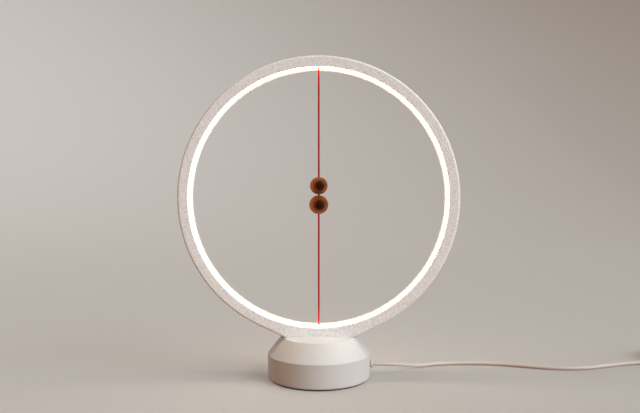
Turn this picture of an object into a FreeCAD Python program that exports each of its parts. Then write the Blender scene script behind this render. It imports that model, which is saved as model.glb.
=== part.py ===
"""Magnetic balance lamp: a lit ring on a weighted base, with two magnetic wooden beads on cords.

Millimetres, +Z up, origin at the middle of the base's underside.  The ring stands in the XZ plane
and its front faces -Y.  The upper bead hangs from the ring's top.  The lower bead's cord runs down
through the ring's foot to a lever that works a small switch: the beads pull the cord up and the
lamp is on.  The lead leaves the base on the +X side.
"""

import FreeCAD, Part
import math
import os

import Sketcher

DOC = FreeCAD.newDocument("BalanceLamp")
V = FreeCAD.Vector

# Driving dimensions: name, millimetres, what it is
DIMENSIONS = [
    ("ring_radius", 125.0, "outer radius of the ring"),
    ("ring_depth", 25.0, "ring, front face to back face"),
    ("ring_face_width", 9.4, "width of the ring's face, from its rim to its opening"),
    ("ring_wall", 2.2, "wall of the two ring shells"),
    ("ring_edge_round", 2.0, "round on the ring's outer edges"),
    ("inner_edge_round", 0.5, "round on the edges of the ring's opening"),
    ("ring_sink", 0.8, "how far the ring's circle would reach below its seat"),
    ("lip_depth", 1.4, "thickness of the lip that holds the diffuser"),
    ("lip_height", 0.4, "how far the lip stands inside the diffuser"),
    ("seam_gap", 0.25, "open seam between the two ring shells"),
    ("tongue_length", 1.3, "tongue that joins the ring shells"),
    ("foot_half_width", 30.0, "half width of the ring's moulded foot"),
    ("recess_margin", 2.4, "room for the foot's flares at the ends of its recess"),
    ("tenon_half_width", 14.0, "half width of the foot's tenon and boss block"),
    ("tenon_half_depth", 8.0, "half depth of the tenon and boss block"),
    ("diffuser_thickness", 1.6, "wall of the light diffuser"),
    ("strip_thickness", 0.5, "flexible light strip"),
    ("strip_width", 8.0, "width of the light strip"),
    ("strip_gap_angle", 9.0, "half angle left free at the ring's foot"),
    ("emitter_count", 44.0, "light emitters on the strip"),
    ("emitter_length", 3.4, "emitter, along the strip"),
    ("emitter_width", 2.8, "emitter, across the strip"),
    ("emitter_height", 1.0, "emitter, off the strip"),
    ("base_radius", 45.8, "outer radius of the base"),
    ("base_height", 37.6, "height of the base's top rim"),
    ("shoulder_height", 22.2, "height of the edge between wall and cone"),
    ("rim_radius", 33.6, "radius of the base's top disc"),
    ("crown_height", 1.7, "rise of the top disc at its middle"),
    ("base_wall", 2.4, "wall of the base shell"),
    ("base_round", 1.8, "round at the foot of the base's wall"),
    ("shoulder_round", 0.8, "round on the shoulder and the rim"),
    ("pad_thickness", 1.0, "non-slip pad under the base"),
    ("pad_inset", 2.0, "pad's edge inside the base's wall"),
    ("cover_thickness", 2.0, "bottom cover"),
    ("ballast_thickness", 4.0, "steel ballast plate"),
    ("cover_boss_radius", 3.6, "screw boss for the cover"),
    ("boss_bite", 0.2, "how far the cover's bosses run into the wall"),
    ("pilot_depth", 11.0, "screw holes in the cover's bosses"),
    ("cover_screw_length", 9.0, "shank of the cover's screws"),
    ("cover_screw_seat", 1.2, "depth of the sunk seats of the cover's screws"),
    ("cover_screw_head", 1.1, "height of the cover screws' heads"),
    ("board_height", 8.2, "underside of the control board"),
    ("board_thickness", 1.6, "control board"),
    ("board_left", 26.0, "board's edge on the -X side"),
    ("board_right", 24.0, "board's edge on the +X side"),
    ("board_half_depth", 18.0, "half depth of the board"),
    ("board_corner", 5.0, "cut corner of the board"),
    ("post_x", 20.5, "board posts from the middle, along X"),
    ("post_y", 13.5, "board posts from the middle, along Y"),
    ("post_radius", 2.6, "board post"),
    ("screw_radius", 1.0, "shank of the small screws"),
    ("board_screw_length", 6.0, "shank of the board's screws"),
    ("clamp_screw_radius", 1.3, "shank of the ring's clamp screws"),
    ("clamp_screw_x", 10.2, "clamp screws from the middle, along X"),
    ("clamp_screw_y", 4.6, "clamp screws from the middle, along Y"),
    ("clamp_plate_thickness", 2.0, "steel plate that clamps the ring's foot"),
    ("clamp_plate_half_width", 20.0, "clamp plate along X"),
    ("clamp_plate_half_depth", 12.0, "clamp plate along Y"),
    ("clamp_plate_corner", 4.0, "cut corners of the clamp plate"),
    ("clamp_screw_end", 1.0, "solid boss left past the clamp screws"),
    ("wire_channel_x", 6.8, "wire channels in the tenon, from the middle"),
    ("wire_channel_radius", 1.2, "wire channels in the tenon"),
    ("wire_radius", 0.5, "light strip's supply wires"),
    ("wire_start_angle", 1.0, "strip's end to its wires' start, in degrees"),
    ("wire_side_gap", 2.0, "boss block's side to the wires' first bend"),
    ("wire_side_rise", 0.5, "wires' first bend above their run over the boss block"),
    ("wire_inner_bend", 3.4, "wires' second bend to their channels, along X"),
    ("wire_exit_drop", 2.5, "clamp plate to the wires' bend below it"),
    ("guide_radius", 3.2, "outer radius of the cord guide tube"),
    ("guide_end_height", 26.0, "lower end of the cord guide tube"),
    ("guide_neck", 2.0, "narrow end of the guide tube's bore"),
    ("guide_collar", 1.2, "thickness of the guide tube's collar"),
    ("guide_collar_width", 1.4, "how far the guide tube's collar stands out"),
    ("eyelet_radius", 2.1, "stem of the two cord eyelets"),
    ("eyelet_bore", 1.35, "bore of the eyelets"),
    ("eyelet_flange_radius", 3.4, "flange of the eyelets behind the diffuser"),
    ("eyelet_flange", 0.9, "thickness of the eyelets' flange"),
    ("eyelet_stem", 2.0, "stem of the eyelets behind their flange"),
    ("anchor_thickness", 1.2, "stopper knot behind the upper eyelet"),
    ("cord_radius", 0.7, "radius of the red cords"),
    ("knot_radius", 1.1, "knots that the two pendants swing on"),
    ("knot_gap", 0.15, "knots to the cords beside them"),
    ("upper_knot_drop", 0.7, "upper knot's middle below the diffuser"),
    ("lower_knot_rise", 2.1, "lower knot's middle above the diffuser, lamp on"),
    ("meet_rise", 2.35, "gap between the beads, above the ring's centre"),
    ("bead_gap", 1.4, "gap between the two beads"),
    ("upper_bead_radius", 7.9, "upper wooden bead"),
    ("upper_bead_height", 14.9, "upper wooden bead, flat to flat"),
    ("lower_bead_radius", 8.55, "lower wooden bead"),
    ("lower_bead_height", 16.3, "lower wooden bead, flat to flat"),
    ("bead_bore", 0.85, "cord hole in the beads"),
    ("magnet_radius", 2.0, "ring magnets in the beads"),
    ("magnet_length", 5.0, "ring magnets in the beads"),
    ("end_knot_radius", 0.95, "knots at the cords' ends"),
    ("end_knot_height", 0.55, "knots at the cords' ends"),
    ("lever_height", 19.0, "axis of the lever's pin"),
    ("lever_arm", 15.0, "pin to pull cord"),
    ("lever_thickness", 1.2, "arm of the lever"),
    ("lever_half_width", 2.2, "arm of the lever"),
    ("lever_flare", 0.4, "how much wider the lever's arm is at its eye"),
    ("lever_eye", 1.1, "eye for the pull cord"),
    ("lever_barrel", 1.7, "barrel round the lever's pin"),
    ("pin_radius", 0.8, "lever's pin"),
    ("pin_end", 0.5, "lever's pin past each ear"),
    ("switch_length", 12.8, "micro switch along X"),
    ("switch_depth", 5.8, "micro switch along Y"),
    ("switch_height", 6.5, "micro switch"),
    ("switch_lead", 6.8, "plunger to the switch's +X end"),
    ("switch_hole", 0.9, "radius of the switch's mounting holes"),
    ("switch_hole_height", 1.6, "the switch's mounting holes above the board"),
    ("switch_hole_behind", 3.0, "the switch's mounting hole on the -X side of the plunger"),
    ("switch_hole_ahead", 3.5, "the switch's mounting hole on the +X side of the plunger"),
    ("plunger_arm", 5.0, "lever's pin to the switch's plunger"),
    ("plunger_radius", 0.8, "plunger of the micro switch"),
    ("plunger_length", 5.1, "plunger of the micro switch"),
    ("plunger_dome", 0.3, "rounded end of the plunger"),
    ("plunger_room", 0.7, "depth of the plunger's well below it"),
    ("bracket_sheet", 0.8, "sheet of the lever's bracket"),
    ("ear_reach", 2.6, "bracket's ears past the pin, along X"),
    ("ear_rise", 2.0, "bracket's ears above the pin's axis"),
    ("gate_sill", 1.6, "opening in the bracket's back, below the lever"),
    ("ferrule_radius", 1.5, "ferrule on the pull cord's end"),
    ("ferrule_length", 2.5, "ferrule on the pull cord's end"),
    ("ferrule_bevel", 0.3, "bevel on the ferrule's upper edge"),
    ("spring_radius", 1.65, "return spring, to the wire's middle"),
    ("spring_wire", 0.22, "radius of the return spring's wire"),
    ("spring_turns", 4.0, "turns of the return spring"),
    ("lead_radius", 1.8, "radius of the lead"),
    ("grommet_neck", 2.9, "grommet in the base's wall"),
    ("grommet_collar", 3.3, "grommet's outer collar"),
    ("grommet_groove", 0.3, "groove between the grommet's collar and its neck"),
    ("grommet_flange", 1.4, "grommet's flange inside the wall"),
    ("grommet_flange_width", 1.0, "how far that flange stands out"),
    ("grommet_step", 1.0, "wall to the grommet's collar"),
    ("grommet_collar_end", 2.4, "wall to the collar's far face"),
    ("grommet_nose", 3.2, "wall to the grommet's tip"),
    ("grommet_nose_wall", 0.5, "wall of the grommet at its tip"),
    ("stop_length", 3.0, "stop ring on the lead"),
    ("stop_width", 1.5, "stop ring on the lead"),
    ("connector_half", 3.5, "half width of the lead's connector"),
    ("connector_height", 5.5, "connectors above the board"),
    ("lead_connector_x", 15.5, "lead's connector, -X side"),
    ("lead_connector_length", 6.0, "lead's connector along X"),
    ("wire_connector_x", 11.5, "supply wires' connector, -X side"),
    ("wire_connector_y", -12.0, "supply wires' connector, -Y side"),
    ("wire_connector_length", 8.0, "supply wires' connector along X"),
    ("wire_connector_depth", 5.0, "supply wires' connector along Y"),
    ("wire_landing_inset", 2.0, "connector's -X side to the first wire"),
    ("wire_landing_pitch", 4.0, "first wire to the second, in their connector"),
    ("wire_landing_rise", 3.5, "wires' straight run above their connector"),
    ("chip_x", 3.0, "driver chip, -X side"),
    ("chip_y", 5.5, "driver chip, -Y side"),
    ("chip_length", 5.0, "driver chip along X"),
    ("chip_depth", 6.0, "driver chip along Y"),
    ("chip_height", 1.6, "driver chip"),
    ("inductor_x", 13.0, "power inductor's middle"),
    ("inductor_y", 9.5, "power inductor's middle"),
    ("inductor_radius", 3.6, "power inductor"),
    ("inductor_height", 3.4, "power inductor"),
    ("capacitor_x", -3.0, "first capacitor's middle"),
    ("capacitor_y", 12.0, "capacitors' middles"),
    ("capacitor_pitch", 6.0, "first capacitor to the second, towards -X"),
    ("capacitor_radius", 2.5, "capacitors"),
    ("capacitor_height", 7.0, "capacitors"),
    ("plug_length", 24.0, "moulded body of the plug"),
    ("plug_width", 15.6, "moulded body of the plug"),
    ("plug_height", 8.0, "moulded body of the plug"),
    ("plug_neck", 2.8, "half width of the plug where the lead enters"),
    ("plug_neck_flare", 0.6, "how much the plug's neck widens"),
    ("plug_neck_length", 6.0, "the plug's neck"),
    ("plug_shoulder", 9.0, "lead's entry to the plug's full width"),
    ("plug_round", 2.0, "rounds on the plug's long edges"),
    ("contact_length", 18.5, "metal shell of the plug"),
    ("contact_width", 12.0, "metal shell of the plug"),
    ("contact_height", 4.5, "metal shell of the plug"),
    ("contact_wall", 0.35, "metal shell of the plug"),
    ("tongue_height", 1.7, "contact tongue inside the plug's shell"),
    ("tongue_inset", 1.0, "contact tongue's end inside the shell's mouth"),
    ("slip_gap", 0.1, "gap between pieces that fit together"),
    ("bearing_gap", 0.05, "gap round a pin that turns"),
    ("free_gap", 0.3, "gap between pieces that move past each other"),
    ("cut_overrun", 1.0, "how far the foot's cuts reach past it"),
]


class Size:
    """A length that carries both its number and the expression that ties it to the sheet."""

    def __init__(self, value, text):
        self.value = value
        self.text = text

    def __add__(self, other):
        return combined(self, "+", other, self.value + number(other))

    def __radd__(self, other):
        return combined(other, "+", self, number(other) + self.value)

    def __sub__(self, other):
        return combined(self, "-", other, self.value - number(other))

    def __rsub__(self, other):
        return combined(other, "-", self, number(other) - self.value)

    def __mul__(self, other):
        return combined(self, "*", other, self.value * number(other))

    def __rmul__(self, other):
        return combined(other, "*", self, number(other) * self.value)

    def __truediv__(self, other):
        return combined(self, "/", other, self.value / number(other))

    def __neg__(self):
        return Size(-self.value, f"(0 - {self.text})")


def number(item):
    """The plain number of a Size or a number."""
    return item.value if isinstance(item, Size) else float(item)


def text(item):
    """The expression of a Size or a number."""
    return item.text if isinstance(item, Size) else f"({float(item)!r})"


def combined(left, sign, right, value):
    """Two lengths joined by an operator."""
    return Size(value, f"({text(left)} {sign} {text(right)})")


def root(size):
    """The square root of a Size."""
    return Size(math.sqrt(size.value), f"sqrt({size.text})")


def make_sheet():
    """The spreadsheet of driving dimensions; returns them as one namespace of Sizes."""
    sheet = DOC.addObject("Spreadsheet::Sheet", "Sizes")
    for row, (alias, value, meaning) in enumerate(DIMENSIONS, 1):
        sheet.set(f"A{row}", alias)
        sheet.set(f"B{row}", repr(value))
        sheet.setAlias(f"B{row}", alias)
        sheet.set(f"C{row}", meaning)
    DOC.recompute()
    return type("Names", (), {a: Size(v, f"Sizes.{a}") for a, v, _ in DIMENSIONS})


D = make_sheet()
ZERO = 0.0
SUB_PARTS = []

# ---------------------------------------------------------------- building blocks


def bind(item, field, size):
    """Ties one property to an expression."""
    item.setExpression(field, text(size))


def place(item, x=ZERO, y=ZERO, z=ZERO):
    """Ties a placement's position to expressions."""
    for axis, size in zip("xyz", (x, y, z)):
        bind(item, f"Placement.Base.{axis}", size)


def keep(item, label):
    """Marks an object as a finished sub-part under its label."""
    item.Label = label
    SUB_PARTS.append(item)
    return item


def new_body(label, x=ZERO, y=ZERO, z=ZERO):
    """An empty PartDesign body that will be the sub-part of that name."""
    body = keep(DOC.addObject("PartDesign::Body", label), label)
    place(body, x, y, z)
    return body


def new_sketch(body, plane, offset=None):
    """A sketch on one of the body's origin planes, or at a distance from it along its normal."""
    sketch = body.newObject("Sketcher::SketchObject", f"{body.Name}_sketch")
    support = next(o for o in body.Origin.OriginFeatures if o.Role == f"{plane}_Plane")
    sketch.AttachmentSupport = (support, [""])
    sketch.MapMode = "FlatFace"
    if offset is not None:
        bind(sketch, "AttachmentOffset.Base.z", offset)
    return sketch


def locate(sketch, geometry, corner, x, y):
    """Ties a point of the sketch to two coordinates; a zero puts it on the axis."""
    for kind, size, axis in (("DistanceX", x, -2), ("DistanceY", y, -1)):
        if number(size) == 0.0:
            sketch.addConstraint(Sketcher.Constraint("PointOnObject", geometry, corner, axis))
            continue
        rule = Sketcher.Constraint(kind, -1, 1, geometry, corner, number(size))
        index = sketch.addConstraint(rule)
        bind(sketch, f"Constraints[{index}]", size)


def arc_between(start, end, radius, side):
    """An arc between two points; side is 1 where its centre lies left of the way to the end.

    A sketch keeps its arcs anticlockwise, so a clockwise one is given from its end.
    """
    chord = end - start
    half = chord.Length / 2
    left = V(-chord.y, chord.x, 0).normalize()
    centre = (start + end) / 2 + left * (side * math.sqrt(max(radius**2 - half**2, 0.0)))
    middle = centre - left * (side * radius)
    return Part.Arc(start, middle, end) if side > 0 else Part.Arc(end, middle, start)


def outline(sketch, points, arcs=None):
    """A closed outline through points; arcs gives {index of a side: (radius, side of centre)}."""
    arcs = arcs or {}
    places = [V(number(x), number(y), 0) for x, y in points]
    sides = []
    for index, start in enumerate(places):
        end = places[(index + 1) % len(places)]
        if index in arcs:
            radius, side = arcs[index]
            geometry = sketch.addGeometry(arc_between(start, end, number(radius), side), False)
            forward = side > 0
            rule = sketch.addConstraint(Sketcher.Constraint("Radius", geometry, number(radius)))
            bind(sketch, f"Constraints[{rule}]", radius)
        else:
            geometry = sketch.addGeometry(Part.LineSegment(start, end), False)
            forward = True
        first, last = (1, 2) if forward else (2, 1)
        sides.append((geometry, first, last))
    for here, after in zip(sides, sides[1:] + sides[:1]):
        sketch.addConstraint(Sketcher.Constraint("Coincident", here[0], here[2], after[0], after[1]))
    for (geometry, first, _), (x, y) in zip(sides, points):
        locate(sketch, geometry, first, x, y)


def circle(sketch, x, y, radius):
    """A circle in a sketch."""
    centre = V(number(x), number(y), 0)
    index = sketch.addGeometry(Part.Circle(centre, V(0, 0, 1), number(radius)), False)
    rule = sketch.addConstraint(Sketcher.Constraint("Radius", index, number(radius)))
    bind(sketch, f"Constraints[{rule}]", radius)
    locate(sketch, index, 3, x, y)


def rectangle(sketch, low_x, high_x, low_y, high_y):
    """A rectangle in a sketch."""
    outline(sketch, [(low_x, low_y), (high_x, low_y), (high_x, high_y), (low_x, high_y)])


def revolve(body, sketch, axis="V_Axis", kind="Revolution", angle=360.0, middle=False):
    """Revolves a sketch about its own upright (V) or level (H) axis."""
    feature = body.newObject(f"PartDesign::{kind}", f"{body.Name}_{kind.lower()}")
    feature.Profile = sketch
    feature.ReferenceAxis = (sketch, [axis])
    feature.Midplane = middle
    bind(feature, "Angle", angle)
    return feature


def extrude(body, sketch, length, kind="Pad", side="One side", back=False):
    """Pads or pockets a sketch by a length, or right through when length is None."""
    feature = body.newObject(f"PartDesign::{kind}", f"{body.Name}_{kind.lower()}")
    feature.Profile = sketch
    feature.SideType = side
    feature.Reversed = back
    if length is None:
        feature.Type = "ThroughAll"
    else:
        bind(feature, "Length", length)
    return feature


def dress(body, kind, size, chosen):
    """Rounds or chamfers the edges of the body's tip whose middle passes the test."""
    DOC.recompute()
    tip = body.Tip
    names = []
    for index, edge in enumerate(tip.Shape.Edges, 1):
        middle = edge.valueAt((edge.FirstParameter + edge.LastParameter) / 2)
        if chosen(middle):
            names.append(f"Edge{index}")
    if not names:
        raise ValueError(f"{body.Label}: no edge for its {kind.lower()}")
    feature = body.newObject(f"PartDesign::{kind}", f"{body.Name}_{kind.lower()}")
    feature.Base = (tip, names)
    bind(feature, "Radius" if kind == "Fillet" else "Size", size)
    return feature


def near(value, size, tolerance=0.02):
    """True where a coordinate is at a size."""
    return abs(value - number(size)) < tolerance


def turned(label, points, arcs=None, x=ZERO, y=ZERO, z=ZERO, upturned=False):
    """A body turned about Z from half an outline given as (radius, height) points."""
    body = new_body(label, x, y, z)
    if upturned:
        body.Placement.Rotation = FreeCAD.Rotation(V(1, 0, 0), 180)
    sketch = new_sketch(body, "XZ")
    outline(sketch, points, arcs)
    revolve(body, sketch)
    return body


def cylinder(name, radius, height, x=ZERO, y=ZERO, z=ZERO):
    """A plain upright cylinder."""
    item = DOC.addObject("Part::Cylinder", name)
    bind(item, "Radius", radius)
    bind(item, "Height", height)
    place(item, x, y, z)
    return item


def group(label, items):
    """Several separate solids that share one node."""
    item = DOC.addObject("Part::Compound", label)
    item.Links = items
    return keep(item, label)


def solid(label, shape):
    """A sub-part whose shape is made from the sheet's numbers in code."""
    item = DOC.addObject("Part::Feature", label)
    item.Shape = shape
    return keep(item, label)


# Share of the shorter run beside a corner that the corner's arc takes
ARC_SHARE = 0.45


def bulge(cut, half_turn):
    """How far a tangent arc's middle lies from the corner that it rounds."""
    radius = cut / math.tan(half_turn)
    return math.hypot(cut, radius) - radius


def rounded_route(points):
    """A wire of straight runs joined by the largest tangent arcs that fit, and its radii."""
    edges = []
    radii = []
    start = points[0]
    for before, corner, after in zip(points, points[1:], points[2:]):
        towards = (before - corner).normalize()
        onwards = (after - corner).normalize()
        half_turn = (math.pi - towards.getAngle(onwards)) / 2
        cut = ARC_SHARE * min((before - corner).Length, (after - corner).Length)
        radii.append(cut / math.tan(half_turn))
        first = corner + towards * cut
        last = corner + onwards * cut
        inward = (towards + onwards).normalize()
        middle = corner + inward * bulge(cut, half_turn)
        edges.append(Part.LineSegment(start, first).toShape())
        edges.append(Part.Arc(first, middle, last).toShape())
        start = last
    edges.append(Part.LineSegment(start, points[-1]).toShape())
    return Part.Wire(edges), radii


def swept(points, radius):
    """A round solid along a rounded route, with the route's length and radii."""
    wire, radii = rounded_route(points)
    heading = (points[1] - points[0]).normalize()
    section = Part.Wire([Part.makeCircle(radius, points[0], heading)])
    return wire.makePipeShell([section], True, True), wire.Length, radii


# ---------------------------------------------------------------- heights that several parts share

ring_centre = D.base_height - D.ring_sink + D.ring_radius
ring_inner = D.ring_radius - D.ring_face_width
half_depth = D.ring_depth / 2
outer_wall = D.ring_radius - D.ring_wall
diffuser_inner = ring_inner + D.lip_height
diffuser_outer = diffuser_inner + D.diffuser_thickness
seat = D.ring_radius - D.ring_sink
top_thickness = D.base_wall
board_top = D.board_height + D.board_thickness
lead_height = board_top + D.lead_radius + D.slip_gap
cover_top = D.pad_thickness + D.cover_thickness
flange_back = diffuser_outer + D.slip_gap + D.eyelet_flange
block_top = flange_back + D.slip_gap
upper_pivot = ring_centre + diffuser_inner - D.upper_knot_drop
lower_pivot = ring_centre - diffuser_inner + D.lower_knot_rise
beads_meet = ring_centre + D.meet_rise
upper_bead_low = beads_meet + D.bead_gap / 2
lower_bead_high = beads_meet - D.bead_gap / 2
upper_bead_middle = upper_bead_low + D.upper_bead_height / 2
lower_bead_middle = lower_bead_high - D.lower_bead_height / 2
ceiling = D.base_height - D.base_wall
plate_low = ceiling - D.slip_gap - D.clamp_plate_thickness
lever_low = D.lever_height - D.lever_thickness / 2
lever_high = D.lever_height + D.lever_thickness / 2
ferrule_top = lever_low - D.free_gap
pin_x = -D.lever_arm
plunger_x = pin_x + D.plunger_arm
switch_behind = D.switch_length - D.switch_lead
wall_inside = D.base_radius - D.base_wall
boss_ring = wall_inside - D.cover_boss_radius + D.boss_bite
grommet_end = D.base_radius + D.grommet_nose

# ---------------------------------------------------------------- ring


def ring_shell(label, front):
    """One moulded half of the ring, with its half of the foot, the tenon and the boss block.

    The body's origin is the ring's centre.  The front shell carries the tongue and the rear
    shell the rebate that it enters.
    """
    way = -1 if front else 1
    body = new_body(label, z=ring_centre)
    face = half_depth * way
    inside = (half_depth - D.ring_wall) * way
    lip = (half_depth - D.lip_depth) * way
    seam = D.seam_gap / 2 * way
    lip_back = diffuser_outer + D.slip_gap
    middle_wall = D.ring_radius - D.ring_wall / 2
    if front:
        step = D.tongue_length
        stepped = middle_wall - D.slip_gap
    else:
        step = D.tongue_length + D.slip_gap
        stepped = middle_wall
    section = new_sketch(body, "YZ")
    points = [
        (face, ring_inner),
        (face, D.ring_radius),
        (seam, D.ring_radius),
        (seam, stepped),
        (step, stepped),
        (step, outer_wall),
        (inside, outer_wall),
        (inside, lip_back),
        (lip, lip_back),
        (lip, ring_inner),
    ]
    outline(section, points)
    revolve(body, section, "H_Axis")
    add_foot(body, front)
    dress(body, "Fillet", D.ring_edge_round, lambda at: near(at.y, face) and outside_foot(at))
    dress(body, "Fillet", D.inner_edge_round, lambda at: near(at.y, face) and on_opening(at))
    return body


# How far the middle of a flare's edge may lie inside the ring's circle
FLARE_TOLERANCE = 0.5


def outside_foot(at):
    """True on the outer outline of the ring and its foot's flares, but not on the foot's bottom."""
    radius = math.hypot(at.x, at.z)
    on_circle = near(radius, D.ring_radius)
    tangent_x, _ = foot_tangent()
    on_flare = D.foot_half_width.value < abs(at.x) < tangent_x.value and at.z < 0
    return on_circle or (on_flare and radius > number(D.ring_radius) - FLARE_TOLERANCE)


def on_opening(at):
    """True on the edge of the ring's opening."""
    return near(math.hypot(at.x, at.z), ring_inner)


def foot_tangent():
    """Where a line from the foot's corner touches the ring's circle, on the +X side."""
    corner_squared = D.foot_half_width * D.foot_half_width + seat * seat
    reach = root(corner_squared - D.ring_radius * D.ring_radius)
    share = D.ring_radius * D.ring_radius / corner_squared
    cross = D.ring_radius * reach / corner_squared
    x = D.foot_half_width * share + seat * cross
    z = D.foot_half_width * cross - seat * share
    return x, z


def add_foot(body, front):
    """The foot: flares that meet the ring's circle, a flat seat, a tenon and its boss block."""
    tangent_x, tangent_z = foot_tangent()
    inner = D.ring_radius - D.ring_wall / 2
    share = inner / D.ring_radius
    foot = new_sketch(body, "XZ")
    points = [
        (-tangent_x, tangent_z),
        (-D.foot_half_width, -seat),
        (D.foot_half_width, -seat),
        (tangent_x, tangent_z),
        (tangent_x * share, tangent_z * share),
        (-tangent_x * share, tangent_z * share),
    ]
    outline(foot, points, {4: (inner, -1)})
    extrude(body, foot, half_depth, back=not front)
    below = -seat - D.ring_sink - D.cut_overrun
    seam_cut = new_sketch(body, "XZ")
    rectangle(seam_cut, -tangent_x, tangent_x, below, -(inner + D.slip_gap))
    extrude(body, seam_cut, D.seam_gap / 2, "Pocket", back=front)
    level = new_sketch(body, "XZ")
    rectangle(level, -tangent_x, tangent_x, below, -seat)
    extrude(body, level, None, "Pocket", side="Symmetric")
    if front:
        room = new_sketch(body, "XZ")
        reach = D.tenon_half_width + D.slip_gap
        rectangle(room, -reach, reach, -D.ring_radius, -block_top)
        extrude(body, room, None, "Pocket")
    tenon = new_sketch(body, "XZ")
    bottom = -seat - top_thickness + 2 * D.slip_gap
    rectangle(tenon, -D.tenon_half_width, D.tenon_half_width, bottom, -block_top)
    extrude(body, tenon, D.tenon_half_depth, back=not front)
    holes = new_sketch(body, "XY")
    circle(holes, ZERO, ZERO, D.guide_radius + D.slip_gap)
    screw_y = D.clamp_screw_y * (-1 if front else 1)
    for side in (-1, 1):
        circle(holes, side * D.clamp_screw_x, screw_y, D.clamp_screw_radius + D.bearing_gap)
        circle(holes, side * D.wire_channel_x, ZERO, D.wire_channel_radius)
    extrude(body, holes, None, "Pocket")


def ring_diffuser():
    """The milky hoop behind the lips, with a hole for each cord's eyelet."""
    edge = half_depth - D.lip_depth - D.slip_gap
    body = new_body("ring_diffuser", z=ring_centre)
    section = new_sketch(body, "YZ")
    rectangle(section, -edge, edge, diffuser_inner, diffuser_outer)
    revolve(body, section, "H_Axis")
    holes = new_sketch(body, "XY")
    circle(holes, ZERO, ZERO, D.eyelet_radius + D.slip_gap)
    extrude(body, holes, None, "Pocket", side="Symmetric")


def light_strip():
    """The flexible strip inside the ring's wall, open at the foot, and its emitters."""
    outer = outer_wall - D.slip_gap
    inner = outer - D.strip_thickness
    body = new_body("led_strip", z=ring_centre)
    section = new_sketch(body, "YZ")
    rectangle(section, -D.strip_width / 2, D.strip_width / 2, inner, outer)
    revolve(body, section, "H_Axis", angle=360 - 2 * D.strip_gap_angle, middle=True)
    count = round(number(D.emitter_count))
    span = 360 - 2 * number(D.strip_gap_angle)
    length, width, height = (number(n) for n in (D.emitter_length, D.emitter_width, D.emitter_height))
    flat = math.sqrt(number(inner) ** 2 - (length / 2) ** 2)
    emitters = []
    for index in range(count):
        box = Part.makeBox(length, width, height, V(-length / 2, -width / 2, flat - height))
        turn = (index + 0.5) * span / count - span / 2
        box.rotate(V(0, 0, 0), V(0, 1, 0), turn)
        emitters.append(box)
    emitters = solid("led_emitters", Part.makeCompound(emitters))
    place(emitters, z=ring_centre)


def cord_fittings():
    """Eyelets pressed through the diffuser, the upper anchor and the lower guide tube."""
    stem_end = flange_back + D.eyelet_stem
    points = [
        (D.eyelet_bore, diffuser_inner - D.bearing_gap),
        (D.eyelet_radius, diffuser_inner - D.bearing_gap),
        (D.eyelet_radius, diffuser_outer + D.slip_gap),
        (D.eyelet_flange_radius, diffuser_outer + D.slip_gap),
        (D.eyelet_flange_radius, flange_back),
        (D.eyelet_radius, flange_back),
        (D.eyelet_radius, stem_end),
        (D.eyelet_bore, stem_end),
    ]
    turned("upper_cord_eyelet", points, z=ring_centre)
    turned("lower_cord_eyelet", points, z=ring_centre, upturned=True)
    stub_low = diffuser_inner - D.upper_knot_drop + D.knot_radius + D.free_gap
    anchor = [
        (ZERO, stub_low),
        (D.cord_radius, stub_low),
        (D.cord_radius, stem_end + D.slip_gap),
        (D.eyelet_radius, stem_end + D.slip_gap),
        (D.eyelet_radius, stem_end + D.slip_gap + D.anchor_thickness),
        (ZERO, stem_end + D.slip_gap + D.anchor_thickness),
    ]
    turned("upper_cord_anchor", anchor, z=ring_centre)
    eyelet_way = D.eyelet_radius + D.slip_gap
    step = D.guide_end_height + D.guide_neck
    collar_top = plate_low - D.slip_gap
    collar_low = collar_top - D.guide_collar
    collar_radius = D.guide_radius + D.guide_collar_width
    guide = [
        (D.eyelet_bore, D.guide_end_height),
        (D.guide_radius, D.guide_end_height),
        (D.guide_radius, collar_low),
        (collar_radius, collar_low),
        (collar_radius, collar_top),
        (D.guide_radius, collar_top),
        (D.guide_radius, ring_centre - block_top),
        (eyelet_way, ring_centre - block_top),
        (eyelet_way, step),
        (D.eyelet_bore, step),
    ]
    turned("cord_guide_tube", guide)


def ring_clamp():
    """The steel plate under the base's top and the screws that pull the ring's foot down."""
    body = new_body("ring_clamp_plate", z=plate_low)
    plan = new_sketch(body, "XY")
    x, y = D.clamp_plate_half_width, D.clamp_plate_half_depth
    cut = D.clamp_plate_corner
    corners = [(x, y - cut), (x - cut, y), (cut - x, y), (-x, y - cut)]
    outline(plan, corners + [(-x, cut - y), (cut - x, -y), (x - cut, -y), (x, cut - y)])
    extrude(body, plan, D.clamp_plate_thickness)
    holes = new_sketch(body, "XY")
    circle(holes, ZERO, ZERO, D.guide_radius + D.slip_gap)
    for side in (-1, 1):
        circle(holes, side * D.wire_channel_x, ZERO, D.wire_channel_radius)
        for depth in (-1, 1):
            way = D.clamp_screw_radius + D.slip_gap
            circle(holes, side * D.clamp_screw_x, depth * D.clamp_screw_y, way)
    extrude(body, holes, None, "Pocket", back=True)
    screws = []
    for x in (-1, 1):
        for y in (-1, 1):
            at = (x * D.clamp_screw_x, y * D.clamp_screw_y, plate_low)
            length = ring_centre - block_top - plate_low - D.clamp_screw_end
            screws.append(pan_screw(f"clamp_screw_{len(screws)}", D.clamp_screw_radius, length, at))
    group("ring_clamp_screws", screws)


# A screw's head as shares of its shank's radius
HEAD_RADIUS = 1.85
HEAD_HEIGHT = 1.2


def pan_screw(name, radius, length, at, up=True):
    """A pan-head screw whose head seats at a point and whose shank goes up or down from it."""
    x, y, z = at
    head = radius * HEAD_HEIGHT
    shank_low = z if up else z - length
    head_low = z - head if up else z
    shank = cylinder(f"{name}_shank", radius, length, x, y, shank_low)
    cap = cylinder(f"{name}_head", radius * HEAD_RADIUS, head, x, y, head_low)
    screw = DOC.addObject("Part::MultiFuse", name)
    screw.Shapes = [shank, cap]
    return screw


# ---------------------------------------------------------------- base


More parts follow.
